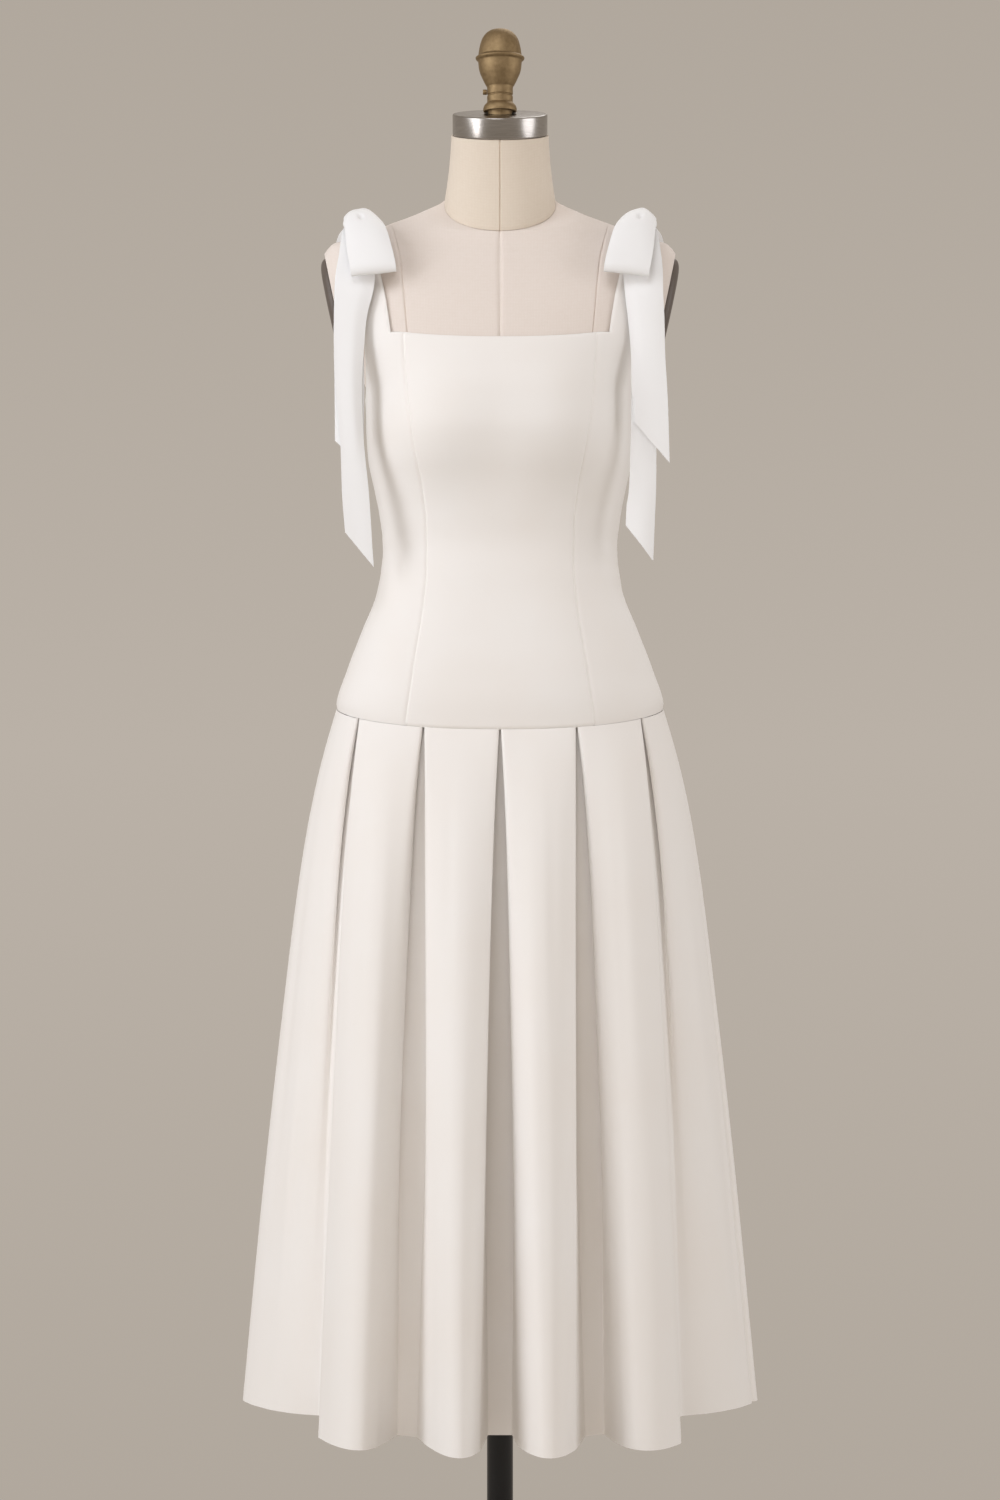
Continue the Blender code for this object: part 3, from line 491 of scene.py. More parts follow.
def centrePanel(name, back, start, end):
    neckline = dress["neckline"]
    rows = []
    foot = bodice["princessFoot"]
    for up in spread(bodice["rows"]):
        line = []
        for share in spread(bodice["columns"]):
            part = start + (end - start) * share
            low = hipSeamAt(part * panelAngle(princessAt(foot), foot)) + dress["gap"]
            height = low + (neckline["corner"] - neckline["dip"] * (1 - part * part) - low) * up
            edge = princessAt(height)
            angle = part * panelAngle(edge, height)
            toPrincess = edge * (1 - abs(part))
            toMiddle = edge * abs(part) if back else 1.0
            sink = seamSink(toPrincess) + seamSink(toMiddle) + seamSink(height - low)
            roll = bodice["edgeRoll"] * bell(up, 1.0, bodice["rollShare"])
            if back and part == 0:
                angle = math.copysign(dress["gap"] / 2 / bodice["nearRadius"]["back"], start + end)
            line.append(dressPoint(angle, height, back, sink=sink + roll))
        rows.append(line)
    return clothPiece(name, rows, crepeIvory, dress["wall"])


def sideRows():  # rows from the hip seam to the strap's end: inner angle and height, outer angle and height, lift
    rows = []
    foot = bodice["princessFoot"]
    low = hipSeamAt(panelAngle(princessAt(foot), foot)) + dress["gap"]
    for i in range(bodice["lowRows"]):
        up = i / (bodice["lowRows"] - 1)
        innerZ = low + (bodice["underarmInner"] - low) * up
        outerLow = dress["hipSeam"]["side"] + dress["gap"]
        outerZ = outerLow + (dress["underarm"] - outerLow) * up
        rows.append((panelAngle(princessAt(innerZ) + dress["gap"] / 2, innerZ), innerZ,
                     math.pi / 2 - dress["gap"] / 2 / bodice["nearRadius"]["side"], outerZ, 0.0))
    for values in bodice["sideRows"]:
        row = dict(zip(bodice["sideTable"], (value * mm for value in values)))
        rows.append((panelAngle(row["innerX"] + dress["gap"] / 2, row["innerZ"]), row["innerZ"],
                     panelAngle(row["outerX"], row["outerZ"]), row["outerZ"], row["lift"]))
    return rows


def sidePanel(name, side, back):
    coarse = sideRows()
    underarm = bodice["lowRows"] - 1
    corner = underarm + 4      # the row that runs along the neckline to the strap
    places = list(range(len(coarse)))
    fine = []
    for first, last, steps in ((0, corner - 1, 78), (corner - 1, corner, 3), (corner, len(coarse) - 1, 26)):
        for i in range(steps):
            fine.append(first + (last - first) * i / steps)
    fine.append(len(coarse) - 1.0)
    curves = curvesOf(places, coarse)
    rows = []
    for place in fine:
        if place <= corner - 1:
            inner, innerZ, outer, outerZ, lift = (through(curve[:corner], place) for curve in curves)
            inner = panelAngle(princessAt(innerZ), innerZ)
        elif place <= corner:
            part = place - corner + 1
            ends = zip(coarse[corner - 1], coarse[corner])
            inner, innerZ, outer, outerZ, lift = (a + (b - a) * part for a, b in ends)
        else:
            inner, innerZ, outer, outerZ, lift = (roundCurve(curve[corner:], place) for curve in curves)
        line = []
        for share in spread(bodice["sideColumnCount"]):
            angle = inner + (outer - inner) * share
            height = innerZ + (outerZ - innerZ) * share
            low = hipSeamAt(angle) + dress["gap"]
            start = hipSeamAt(inner) + (dress["hipSeam"]["side"] - hipSeamAt(inner)) * share + dress["gap"]
            height += (low - start) * max(0.0, 1 - place / underarm)
            fromInner = (angle - inner) * bodice["nearRadius"]["panel"]
            fromOuter = (outer - angle) * bodice["nearRadius"]["panel"]
            sink = seamSink(height - low)
            if place <= corner - 1:
                sink += seamSink(fromInner)
            else:
                sink += bodice["edgeRoll"] * bell(fromInner, 0, bodice["edgeReach"])
            if place <= underarm:
                sink += seamSink(fromOuter)
            else:
                sink += bodice["edgeRoll"] * bell(fromOuter, 0, bodice["edgeReach"])
            if place > corner:       # the strap draws into soft lengthwise folds towards its knot
                gather = smoothStep(corner + 1.5, len(coarse) - 1, place)
                sink -= gather * bodice["gather"] * math.sin(share * math.pi * 3 + 0.6 * side)
            line.append(dressPoint(side * angle, height, back, lift, min(sink, bodice["sinkMost"])))
        rows.append(line)
    if (side < 0) != back:
        rows = [list(reversed(line)) for line in rows]
    return clothPiece(name, rows, crepeIvory, dress["wall"])


bodicePieces = {"front": centrePanel("bodice_front_centre", False, -1.0, 1.0)}
bodicePieces["backRight"] = centrePanel("bodice_back_centre_right", True, 1.0, 0.0)
bodicePieces["backLeft"] = centrePanel("bodice_back_centre_left", True, 0.0, -1.0)
for side, word in sides:
    bodicePieces["sideFront" + word] = sidePanel("bodice_side_front_" + word, side, False)
    bodicePieces["sideBack" + word] = sidePanel("bodice_side_back_" + word, side, True)


print("skirt")
skirtPleats = {
    "panels": 12,
    "turnUnder": 24 * mm,    # how far each fold turns under at the seam
    "layer": 3.4 * mm,       # from one layer of a fold to the next
    "parting": 1.25 * mm,    # from an opening's middle to a panel's edge at the seam
    "foldReach": 2.2 * mm,   # how much of each fold is round
    "halfWall": 0.75 * mm,   # half of the solid's cloth, whose middle the seam line follows
    "innerPoints": 4,
    "rowPower": 1.35,        # crowds the rows towards the seam
    "waver": 0.9 * mm,
    "flare": ((0.0, 0.0), (0.055, 0.12), (0.0975, 0.20), (0.167, 0.306), (0.25, 0.404),
              (0.44, 0.58), (0.68, 0.777), (1.0, 1.0)),
    "hemColumns": ("leftX", "leftY", "recessX", "recessY", "recessHalf", "rightX", "rightY",
                   "leftRoll", "rightRoll", "apexX", "apexY"),
    "hem": (                 # each opening's plan at the hem in millimetres, from -X to +X
        (-258, 17, -172, 0, 14, -257, -17, 10, 10, -238, -52),
        (-202, -84, -173, -97, 5, -170, -186, 14, 5, -133, -237),
        (-106, -203, -87, -180, 11, -67, -222, 12, 9, -40, -268),
        (-19, -243, 0, -175, 12, 18, -226, 5, 9, 44, -269),
        (70, -235, 89, -176, 11, 107, -204, 5, 12, 134, -238),
        (168, -210, 174, -98, 5, 202, -84, 5, 14, 239, -52),
        (257, -17, 172, 0, 14, 258, 17, 10, 10, 238, 52),
    ),
    "rows": 76,
    "stepsBySpan": (2, 2, 2, 6, 3, 3, 5, 5, 5, 5, 5, 3, 3, 6, 2, 2, 2),  # fine points in each span of a pleat
    # soft lengthwise creases: panel from -X, share across it, top and bottom as shares down, half width, depth mm
    "creases": (
        (0, 0.45, 0.10, 0.80, 0.10, -1.6), (0, 0.75, 0.35, 1.05, 0.09, 1.8),
        (1, 0.28, 0.05, 0.55, 0.10, -1.2), (1, 0.62, 0.20, 0.95, 0.12, 1.5),
        (2, 0.35, 0.02, 0.42, 0.09, -1.0), (2, 0.70, 0.40, 1.05, 0.11, -1.2),
        (3, 0.30, 0.25, 0.90, 0.12, 1.3), (3, 0.66, 0.03, 0.50, 0.09, -1.1),
        (4, 0.40, 0.04, 0.60, 0.10, -1.3), (4, 0.72, 0.45, 1.05, 0.10, 1.4),
        (5, 0.30, 0.15, 0.85, 0.10, 1.6), (5, 0.58, 0.42, 1.05, 0.08, -2.2),
        (5, 0.80, 0.10, 1.30, 0.07, -6.0),
    ),
}


def hipLine():
    steps = 1440
    angles = [math.radians(-180 + 360 * i / steps) for i in range(steps + 1)]
    points = []
    for angle in angles:
        height = hipSeamAt(angle)
        points.append(skinPoint(angle, height, easeAt(height) - skirtPleats["halfWall"]))
    return angles, points, lengthsAlong([point.xy for point in points])


hipAngles, hipPoints, hipLengths = hipLine()
hipGirth = hipLengths[-1]


def hipPoint(along, inset):
    along = along % hipGirth
    index = min(bisect.bisect_right(hipLengths, along), len(hipLengths) - 1)
    part = (along - hipLengths[index - 1]) / (hipLengths[index] - hipLengths[index - 1])
    before, after = hipPoints[index - 1].xy, hipPoints[index].xy
    direction = (after - before).normalized()
    angle = hipAngles[index - 1] + (hipAngles[index] - hipAngles[index - 1]) * part
    plan = before.lerp(after, part) - Vector((direction.y, -direction.x)) * inset
    return plan, hipSeamAt(angle) - dress["gap"]


def hemOpenings(back):
    turn = -1 if back else 1
    found = []
    for values in skirtPleats["hem"]:
        row = dict(zip(skirtPleats["hemColumns"], (value * mm for value in values)))
        plan = {name: Vector((row[name + "X"], row[name + "Y"])) * turn
                for name in ("left", "right", "recess", "apex")}
        rolls = {name: row[name] for name in ("leftRoll", "rightRoll")}
        found.append({**plan, **rolls, "half": row["recessHalf"]})
    return found


def roundedCorner(before, corner, after, reach):
    start = corner + (before - corner).normalized() * min(reach, (before - corner).length * 0.45)
    end = corner + (after - corner).normalized() * min(reach, (after - corner).length * 0.45)
    return [start, (start + corner * 2 + end) / 4, end]


def bowed(start, apex, end, part):
    middle = apex * 2 - (start + end) / 2
    return start * (1 - part) ** 2 + middle * 2 * part * (1 - part) + end * part**2


def hemPleat(this, following):
    acrossThis = Vector((-this["recess"].y, this["recess"].x)).normalized()
    acrossNext = Vector((-following["recess"].y, following["recess"].x)).normalized()
    innerA = this["recess"] + acrossThis * this["half"]
    innerB = following["recess"] - acrossNext * following["half"]
    edgeA, edgeB, apex = this["right"], following["left"], this["apex"]
    count = skirtPleats["innerPoints"]
    panel = [bowed(edgeA, apex, edgeB, (i + 1) / (count + 1)) for i in range(count)]
    reach = skirtPleats["foldReach"]
    return [
        this["recess"],
        *roundedCorner(this["recess"], innerA, edgeA, reach),
        *roundedCorner(innerA, edgeA, panel[0], this["rightRoll"]),
        *panel,
        *roundedCorner(panel[-1], edgeB, innerB, following["leftRoll"]),
        *roundedCorner(edgeB, innerB, following["recess"], reach),
    ]


def seamPleat(number):
    pitch = hipGirth / skirtPleats["panels"]
    start, end = number * pitch, (number + 1) * pitch
    near, far = skirtPleats["parting"], skirtPleats["turnUnder"]
    fold, layer = skirtPleats["foldReach"], skirtPleats["layer"]
    first, last = start + near + fold, end - near - fold
    count = skirtPleats["innerPoints"]
    places = [
        (start, layer * 2),
        (start + far - fold, layer * 2), (start + far, layer * 1.5), (start + far - fold, layer),
        (first, layer), (start + near, layer / 2), (first, 0.0),
        *((first + (last - first) * (i + 1) / (count + 1), 0.0) for i in range(count)),
        (last, 0.0), (end - near, layer / 2), (last, layer),
        (end - far + fold, layer), (end - far, layer * 1.5), (end - far + fold, layer * 2),
    ]
    return [hipPoint(along, inset) for along, inset in places]


def panelCrease(panel, share, down, back):
    depth = 0.0
    for at, across, top, bottom, halfWidth, size in skirtPleats["creases"]:
        if at == panel:
            middle, half = (top + bottom) / 2, (bottom - top) / 2
            place = 1 - across if back else across
            depth += size * mm * bell(share, place, halfWidth) * bell(down, middle, half * 0.75)
    return depth


def skirtPiece(name, back):
    openings = hemOpenings(back)
    half = skirtPleats["panels"] // 2
    first = skirtPleats["panels"] // 4 + (half if back else 0)
    top, bottom = [], []
    for number in range(half):
        top.extend(seamPleat(first + number))
        bottom.extend(hemPleat(openings[number], openings[number + 1]))
    gap = dress["gap"]
    top.append(hipPoint((first + half) * hipGirth / skirtPleats["panels"] - gap, skirtPleats["layer"] * 2))
    bottom.append(openings[half]["recess"])
    top[0] = hipPoint(first * hipGirth / skirtPleats["panels"] + gap, skirtPleats["layer"] * 2)
    inward = Vector((0, gap if back else -gap))
    bottom[0], bottom[-1] = bottom[0] + inward, bottom[-1] + inward
    perPleat = len(skirtPleats["stepsBySpan"])
    rows = []
    for r in range(skirtPleats["rows"] - 1, -1, -1):
        even = r / (skirtPleats["rows"] - 1)
        level = even ** skirtPleats["rowPower"]
        flare = through(skirtPleats["flare"], level)
        plans = [seam.lerp(hem, flare) for (seam, _), hem in zip(top, bottom)]
        heights = [seamZ + (dress["hemZ"] - seamZ) * level for _, seamZ in top]
        lengths = lengthsAlong(plans, 1e-5)
        curves = curvesOf(lengths, [(*plan, height) for plan, height in zip(plans, heights)])
        line = []
        for index in range(len(plans) - 1):
            steps = skirtPleats["stepsBySpan"][index % perPleat]
            for step in range(steps):
                at = lengths[index] + (lengths[index + 1] - lengths[index]) * step / steps
                x, y, z = (roundCurve(curve, at) for curve in curves)
                line.append((x, y, z, index + step / steps))
        line.append((plans[-1].x, plans[-1].y, heights[-1], len(plans) - 1.0))
        rows.append(settle(line, level, perPleat, back))
    return clothPiece(name, rows, crepeIvory, dress["wall"], offset=0.0)


def settle(line, level, perPleat, back):  # the creases, and the slight waver of cloth that hangs free
    panelStart, panelSpans = 6, skirtPleats["innerPoints"] + 1     # a pleat's first points are its fold's
    moved = []
    for i, (x, y, z, place) in enumerate(line):
        before, after = line[max(i - 1, 0)], line[min(i + 1, len(line) - 1)]
        along = Vector((after[0] - before[0], after[1] - before[1]))
        outward = Vector((along.y, -along.x)).normalized() if along.length > 1e-7 else Vector((0, 0))
        panel, within = int(place // perPleat), place % perPleat
        share = (within - panelStart) / panelSpans
        depth = 0.0
        if -0.05 <= share <= 1.05:
            depth += panelCrease(panel, share, level, back) * smoothStep(0, 0.05, level)
        waver = noise.noise(Vector((x * 9, y * 9, z * 3.2)) + Vector((3, 7, 1)))
        depth += skirtPleats["waver"] * smoothStep(0.05, 0.4, level) * waver
        moved.append((x + outward.x * depth, y + outward.y * depth, z))
    return moved


skirtPieces = {"front": skirtPiece("skirt_front", False), "back": skirtPiece("skirt_back", True)}


print("bows")
# how a tail leaves the knot, above or below the other one; columns as in bowRibbons
tailOver = (
    (141, -7, 1420, 10, 0), (143, -19, 1415, 14, 0), (143, -35, 1412, 20, 0), (141.5, -51, 1403.5, 27, 0),
    (140, -65.5, 1386.5, 33, 0),
)
tailUnder = (
    (141.5, -6.5, 1418, 9, 0), (144, -17.5, 1411, 12, 0), (144.5, -33, 1408.5, 18, 0), (144, -48, 1399, 24, 0),
    (143.5, -62, 1381, 28, 0),
)
bowRibbons = {
    "wall": 0.9 * mm,
    "columns": 21,
    "loopRows": 90,
    "tailRows": 90,
    # x (times the side), y, z, width, drop of the outer edge and crown across it, in millimetres
    "frontLoop": (
        (139, -8, 1424, 17, 0, 5), (139, -14.8, 1424.5, 22, 0, 7.5),
        (138.5, -26, 1423.5, 28, 0, 8), (136, -48, 1417.5, 35, 0, 7.5),
        (131.5, -68.5, 1404, 40, 1.5, 4.5), (127, -81.5, 1382, 43.5, 3, 2.5),
        (123.5, -89, 1365, 44, 4.5, 1.6), (122.5, -87.5, 1357.5, 43.5, 5, 0),
        (122.5, -81.5, 1360, 43, 5, -1), (124.5, -76, 1375, 42, 3.5, -1.6), (129, -66.5, 1395, 38, 2, -3),
        (134.5, -48, 1411, 31, 0, -6), (138, -29, 1418.5, 24, 0, -6),
        (138.5, -18, 1420, 20, 0, -4), (139, -9, 1421.5, 17, 0, -3),
    ),
    "backLoop": (
        (139.5, 8, 1424, 17, 0, 5), (140, 14.8, 1424.5, 22, 0, 7.5),
        (142, 26, 1423.5, 27, 0, 7.5), (147, 46, 1416, 35, 0, 6.5),
        (149, 67, 1401, 39, -1, 4), (149.5, 86, 1378, 41, -2, 2.5), (149.5, 97, 1359, 42, -3, 1.6),
        (149, 95.5, 1352, 42, -3, 0), (148.5, 89, 1355, 41, -3, -1), (148, 83, 1370, 40, -2, -1.6),
        (146, 70, 1391, 36, -1, -3), (143, 48, 1410, 29, 0, -6), (140, 30, 1418.5, 23, 0, -6),
        (139.5, 18, 1420, 20, 0, -4), (139, 9, 1421.5, 17, 0, -3),
    ),
    # x (times the side), y, z, width and drop of the +X edge
    "longTail": {
        -1: (
            *tailOver, (140, -74, 1365, 36.5, 0), (141.5, -78.5, 1343, 36, 0),
            (145.5, -80, 1318, 32, 0), (147, -80.5, 1290, 29.5, 0), (147.3, -80.5, 1250, 25.5, 0),
            (144, -80.5, 1195, 23, 0), (141, -80, 1150, 26, 0), (138.5, -79.5, 1112, 28, 0),
            (136.8, -79, 1090, 28, 34),
        ),
        1: (
            *tailUnder, (143.5, -69.5, 1360, 30, 0), (143.5, -73.5, 1341, 30, 0),
            (144, -76, 1300, 28, 0), (142, -76, 1250, 27, 0), (140, -76, 1195, 25, 0),
            (139, -75, 1150, 26, 0), (137, -74, 1120, 26.5, 0), (136, -73.5, 1097, 26.5, 35),
        ),
    },
    "shortTail": {
        -1: (
            *tailUnder, (145, -69.5, 1360, 31, 0), (146, -73, 1341, 31, 0),
            (147.5, -74.5, 1300, 29, 0), (146.8, -74, 1250, 29, 0), (147, -74, 1205, 28, 0),
            (147, -74, 1183, 28, 28),
        ),
        1: (
            *tailOver, (139.5, -74, 1365, 38, 0), (140.3, -79, 1340, 37, 0),
            (142.4, -81, 1313, 35, 0), (144, -82.5, 1280, 33, 0), (145, -83.5, 1250, 34.5, 0),
            (146.5, -83.5, 1222, 35, 0), (147.4, -83, 1194.5, 35, 41),
        ),
    },
    # where the loop's cloth tucks in below the knot
    "dimple": {"place": 0.225, "long": 0.018, "share": 0.07, "wide": 0.05, "depth": 3.6 * mm},
    "endRows": 10,             # the last rows turn step by step into the slanted end
    "arch": 1.5 * mm,          # a tail's rise between its edges
    "sway": 1.8 * mm,
    "curl": 1.6 * mm,          # how far a tail's inner edge turns back towards the strap
    "knot": {"centre": (140, 0, 1425.5), "half": (17, 13, 9.8), "droop": 0.28, "rings": 40, "steps": 72},
}


def ribbonFold(share, place, gather, phase):  # lengthwise folds that open out away from the knot, in metres
    fold = 1.5 * gather * math.sin(share * 2 * math.pi * 1.5 + phase)
    slack = 0.7 * (1 - gather) * math.sin(place * 5.0 + phase * 2) * math.sin(share * math.pi * 1.6 + 0.8)
    return (fold + slack) * mm


def loopPiece(name, table, side, phase):  # both ends run on into the knot
    line = smoothLine([tuple(value * mm for value in row) for row in table], bowRibbons["loopRows"])
    columns = bowRibbons["columns"]
    dimple = bowRibbons["dimple"]
    rows = []
    for index, (x, y, z, width, slope, crown) in enumerate(line):
        before, after = line[max(index - 1, 0)], line[min(index + 1, len(line) - 1)]
        along = Vector([b - a for a, b in zip(before[:3], after[:3])]).normalized()
        outward = along.cross(Vector((1, 0, 0))).normalized()
        place = index / (len(line) - 1)
        gather = 1 - smoothStep(0.0, 0.30, min(place, 1 - place))
        row = []
        for c in range(columns):
            share = c / (columns - 1) - 0.5
            rise = crown * (1 - abs(2 * share) ** 2.6) + 0.5 * ribbonFold(share, place, gather, phase)
            tuck = bell(place, dimple["place"], dimple["long"]) * bell(share * side, dimple["share"], dimple["wide"])
            rise -= dimple["depth"] * tuck
            row.append(Vector((side * x + share * width, y, z - side * share * slope)) + outward * rise)
        rows.append(row)
    return clothPiece(name, rows, crepeRibbon, bowRibbons["wall"], offset=0.0)


def tailPiece(name, table, side, phase):
    line = smoothLine([tuple(value * mm for value in row[:4]) for row in table[:-1]], bowRibbons["tailRows"] - 1)
    x, y, z, width, slope = (value * mm for value in table[-1])
    columns = bowRibbons["columns"]
    endRows = bowRibbons["endRows"]
    rows = []
    for index, (px, py, pz, pwidth) in enumerate(line + [(x, y, z, width)]):
        place = index / len(line)
        gather = 1 - smoothStep(0.02, 0.35, place)
        slant = max(0.0, (index - len(line) + endRows) / endRows) ** 1.5
        row = []
        for c in range(columns):
            share = c / (columns - 1) - 0.5
            forward = bowRibbons["arch"] * (1 - (2 * share) ** 2) + ribbonFold(share, place, gather, phase)
            forward += bowRibbons["sway"] * place * math.sin(share * 3.4 + phase)
            turned = smoothStep(0.24, 0.34, place) * (1 - smoothStep(0.70, 0.85, place))
            forward -= bowRibbons["curl"] * turned * smoothStep(0.10, 0.5, -share * side)
            row.append(Vector((side * px + share * pwidth, py - forward, pz - share * slope * slant)))
        rows.append(row)
    return clothPiece(name, rows, crepeRibbon, bowRibbons["wall"], offset=0.0)


def knotPiece(name, side):
    shape = bowRibbons["knot"]
    centre = Vector([value * mm for value in shape["centre"]])
    half = [value * mm for value in shape["half"]]
    rings = []
    for r in range(1, shape["rings"]):
        tilt = math.pi * r / shape["rings"]
        ring = []
        for i in range(shape["steps"]):
            turn = 2 * math.pi * i / shape["steps"]
            direction = Vector((-math.cos(tilt), math.sin(tilt) * math.cos(turn), math.sin(tilt) * math.sin(turn)))
            pinch = 1 - 0.10 * bell(direction.x, 0.25, 0.22) - 0.07 * bell(direction.x, -0.42, 0.16)
            fold = 1 + 0.03 * math.sin(direction.x * 11 + turn * 2) * math.sin(tilt)
            point = Vector([d * h for d, h in zip(direction, half)]) * pinch * fold
            point.z -= shape["droop"] * max(0.0, side * point.x)
            ring.append(Vector((side * centre.x, centre.y, centre.z)) + point)
        rings.append(ring)
    return closedLoft(name + "_cloth", rings, crepeRibbon, name)


for side, word in sides:
    ({
        "knot": knotPiece("bow_knot_" + word, side),
        "frontLoop": loopPiece("bow_front_loop_" + word, bowRibbons["frontLoop"], side, 0.4 * side),
        "backLoop": loopPiece("bow_back_loop_" + word, bowRibbons["backLoop"], side, 1.1 * side),
        "longTail": tailPiece("bow_long_tail_" + word, bowRibbons["longTail"][side], side, 0.7 * side),
        "shortTail": tailPiece("bow_short_tail_" + word, bowRibbons["shortTail"][side], side, -0.5 * side),
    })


print("form")
formCut = {
    "neckSeam": {"centre": Vector((0.0, 0.0, 1.440)), "tilt": math.radians(33)},
    "cap": {"top": Vector((0.0, -0.020, 1.527)), "radius": 47.2 * mm, "height": 21 * mm, "tilt": math.radians(17)},
    "arm": {"x": 0.167, "y": 0.002, "z": 1.352, "tilt": math.radians(12), "thick": 7.5 * mm, "down": 15 * mm,
            "half": (50 * mm, 36.5 * mm), "rim": 0.7 * mm},
    "bottom": 0.835,
    "shoulderEnd": {"rise": 4.5 * mm, "from": 0.147, "to": 0.166},   # the linen stands up a little at the plate
    "seamWidth": 1.1 * mm,
    "seamDepth": 1.5 * mm,
    "neckSeamDepth": 0.9 * mm,
    "neckSeamReach": 2.2 * mm,
    "torsoRows": ((0.835, 0.0165, 27), (1.2725, 0.0032, 38), (1.3945, 0.0013, 78)),   # first height, step, how many
    "neckRows": (1.385, 0.00132, 132),
    # the linen's own princess seams: height, distance from the centre line
    "princess": ((0.835, 0.078), (0.935, 0.090), (1.095, 0.066), (1.205, 0.078), (1.298, 0.090), (1.345, 0.0945),
                 (1.377, 0.0985), (1.405, 0.105), (1.430, 0.112)),
    # height, half width, front and back from the middle, lean towards the back
    "neck": ((1385, 64.0, 61.0, 64.0, 6.0), (1410, 60.5, 58.5, 62.5, 3.0), (1443, 55.5, 54.0, 58.0, 1.0),
             (1470, 51.5, 51.0, 51.0, -3.0), (1500, 48.8, 48.8, 48.8, -10.0), (1560, 47.0, 47.0, 47.0, -22.0)),
}


def sliceOff(piece, centre, normal):  # takes away what lies beyond a plane and closes the cut
    shape = bmesh.new()
    shape.from_mesh(piece.data)
    everything = shape.verts[:] + shape.edges[:] + shape.faces[:]
    bmesh.ops.bisect_plane(shape, geom=everything, plane_co=centre, plane_no=normal, clear_outer=True)
    bmesh.ops.holes_fill(shape, edges=[edge for edge in shape.edges if edge.is_boundary], sides=0)
    shape.to_mesh(piece.data)
    shape.free()
    piece.data.set_sharp_from_angle(angle=math.radians(35))


def seamGroove(distance):
    return formCut["seamDepth"] * bell(distance, 0, formCut["seamWidth"] / 2)


def upright(cut):  # a plane's own way up
    return Matrix.Rotation(cut["tilt"], 3, "X") @ Vector((0, 0, 1))


def armOutward(side):
    tilt = formCut["arm"]["tilt"]
    return Vector((side * math.cos(tilt), 0, -math.sin(tilt)))


neckUp, capUp = upright(formCut["neckSeam"]), upright(formCut["cap"])


def neckSeamGroove(point):
    above = (point - formCut["neckSeam"]["centre"]).dot(neckUp)
    return formCut["neckSeamDepth"] * bell(above, 0, formCut["neckSeamReach"])


def torsoPiece():
    heights = [first + step * i for first, step, count in formCut["torsoRows"] for i in range(count)]
    end = formCut["shoulderEnd"]
    rings = []
    for height in heights:
        princess = min(angleAt(through(formCut["princess"], height), height), math.pi / 2 - 0.35)
        seams = [0, princess, math.pi / 2, math.pi - princess, math.pi, math.pi + princess, 1.5 * math.pi,
                 2 * math.pi - princess, 2 * math.pi]
        ring = []
        for start, finish in zip(seams, seams[1:]):
            for share in spread(31)[:-1]:
                angle = start + (finish - start) * share
                radius = skinPoint(angle, height).xy.length
                near = min(angle - start, finish - angle) * radius
                out = -seamGroove(near) - form["clearance"] * (1 - smoothStep(1.27, 1.31, height))
                point = skinPoint(angle, height, out)
                point = skinPoint(angle, height, out - neckSeamGroove(point))
                top = smoothStep(end["from"], end["to"], abs(point.x)) * smoothStep(1.375, 1.398, height)
                ring.append(point + Vector((0, 0, end["rise"] * top)))
        rings.append(ring)
    piece = closedLoft("form_torso_linen", rings, linenCanvas, "form_torso")
    sliceOff(piece, formCut["neckSeam"]["centre"], neckUp)
    arm = formCut["arm"]
    for side in (-1, 1):
        sliceOff(piece, Vector((side * arm["x"], 0, arm["z"])), armOutward(side))


def neckPiece():
    table = [[value * mm for value in row] for row in formCut["neck"]]
    curves = curvesOf([row[0] for row in table], [row[1:] for row in table])
    rings = []
    first, step, count = formCut["neckRows"]
    for row in range(count):
        height = first + step * row
        half, front, back, lean = (roundCurve(curve, height) for curve in curves)
        ring = []
        for start in (0.0, math.pi):       # sewn at the centre front and the centre back
            for share in spread(73)[:-1]:
                angle = start + math.pi * share
                depth = front if math.cos(angle) > 0 else back
                point = Vector((half * math.sin(angle), -depth * math.cos(angle) + lean, height))
                near = min(angle - start, start + math.pi - angle) * half
                sink = seamGroove(near) + neckSeamGroove(point)
                ring.append(point - Vector((math.sin(angle), -math.cos(angle), 0)) * sink)
        rings.append(ring)
    piece = closedLoft("form_neck_linen", rings, neckCanvas, "form_neck")
    seam, cap = formCut["neckSeam"], formCut["cap"]
    sliceOff(piece, seam["centre"] + Vector((0, 0, 0.6 * mm)), -neckUp)
    sliceOff(piece, cap["top"] - capUp * (cap["height"] + dress["gap"]), capUp)


torsoPiece()
neckPiece()


print("fittings")
fittings = {
    "capEdge": 1.6 * mm,
    # radius, height above the middle of the cap's top, millimetres, from the top down
    "finial": (
        (0.6, 83.9), (6, 83.5), (10.5, 82), (14.2, 79.2), (17, 75.6), (19, 71), (20.4, 65.5), (21.3, 60),
        (21.8, 57.6), (23.9, 55.9), (24.3, 55), (23.6, 53.6), (22.2, 52.4), (21.6, 50.5), (21, 45),
        (19.9, 40.5), (18.2, 36.5), (16.2, 32.2), (14.2, 28.4), (13, 26.4), (12.8, 24), (12.8, 19.6),
        (12.1, 18.6), (12.1, 17.8), (12.8, 16.8), (12.7, 12), (13.4, 10.4), (15.4, 8.2), (16.5, 5.6),
        (16.6, 3), (16, 1.8), (12, 1.6), (12, -8),
    ),
    "screw": {"radius": 2.6 * mm, "long": 4 * mm, "rise": 21.4 * mm, "from": 13.0 * mm, "edge": 0.5 * mm},
    # share of the plate's radius, height of its dome in millimetres, and the foot of its straight rim
    "plate": ((0.02, 0.0), (0.5, -0.2), (0.74, -0.7), (0.86, -1.7), (0.935, -3.2), (0.978, -5.0), (0.994, -6.3)),
    "plateStep": 0.2 * mm,
    "steps": 96,
    "capSteps": 128,
}


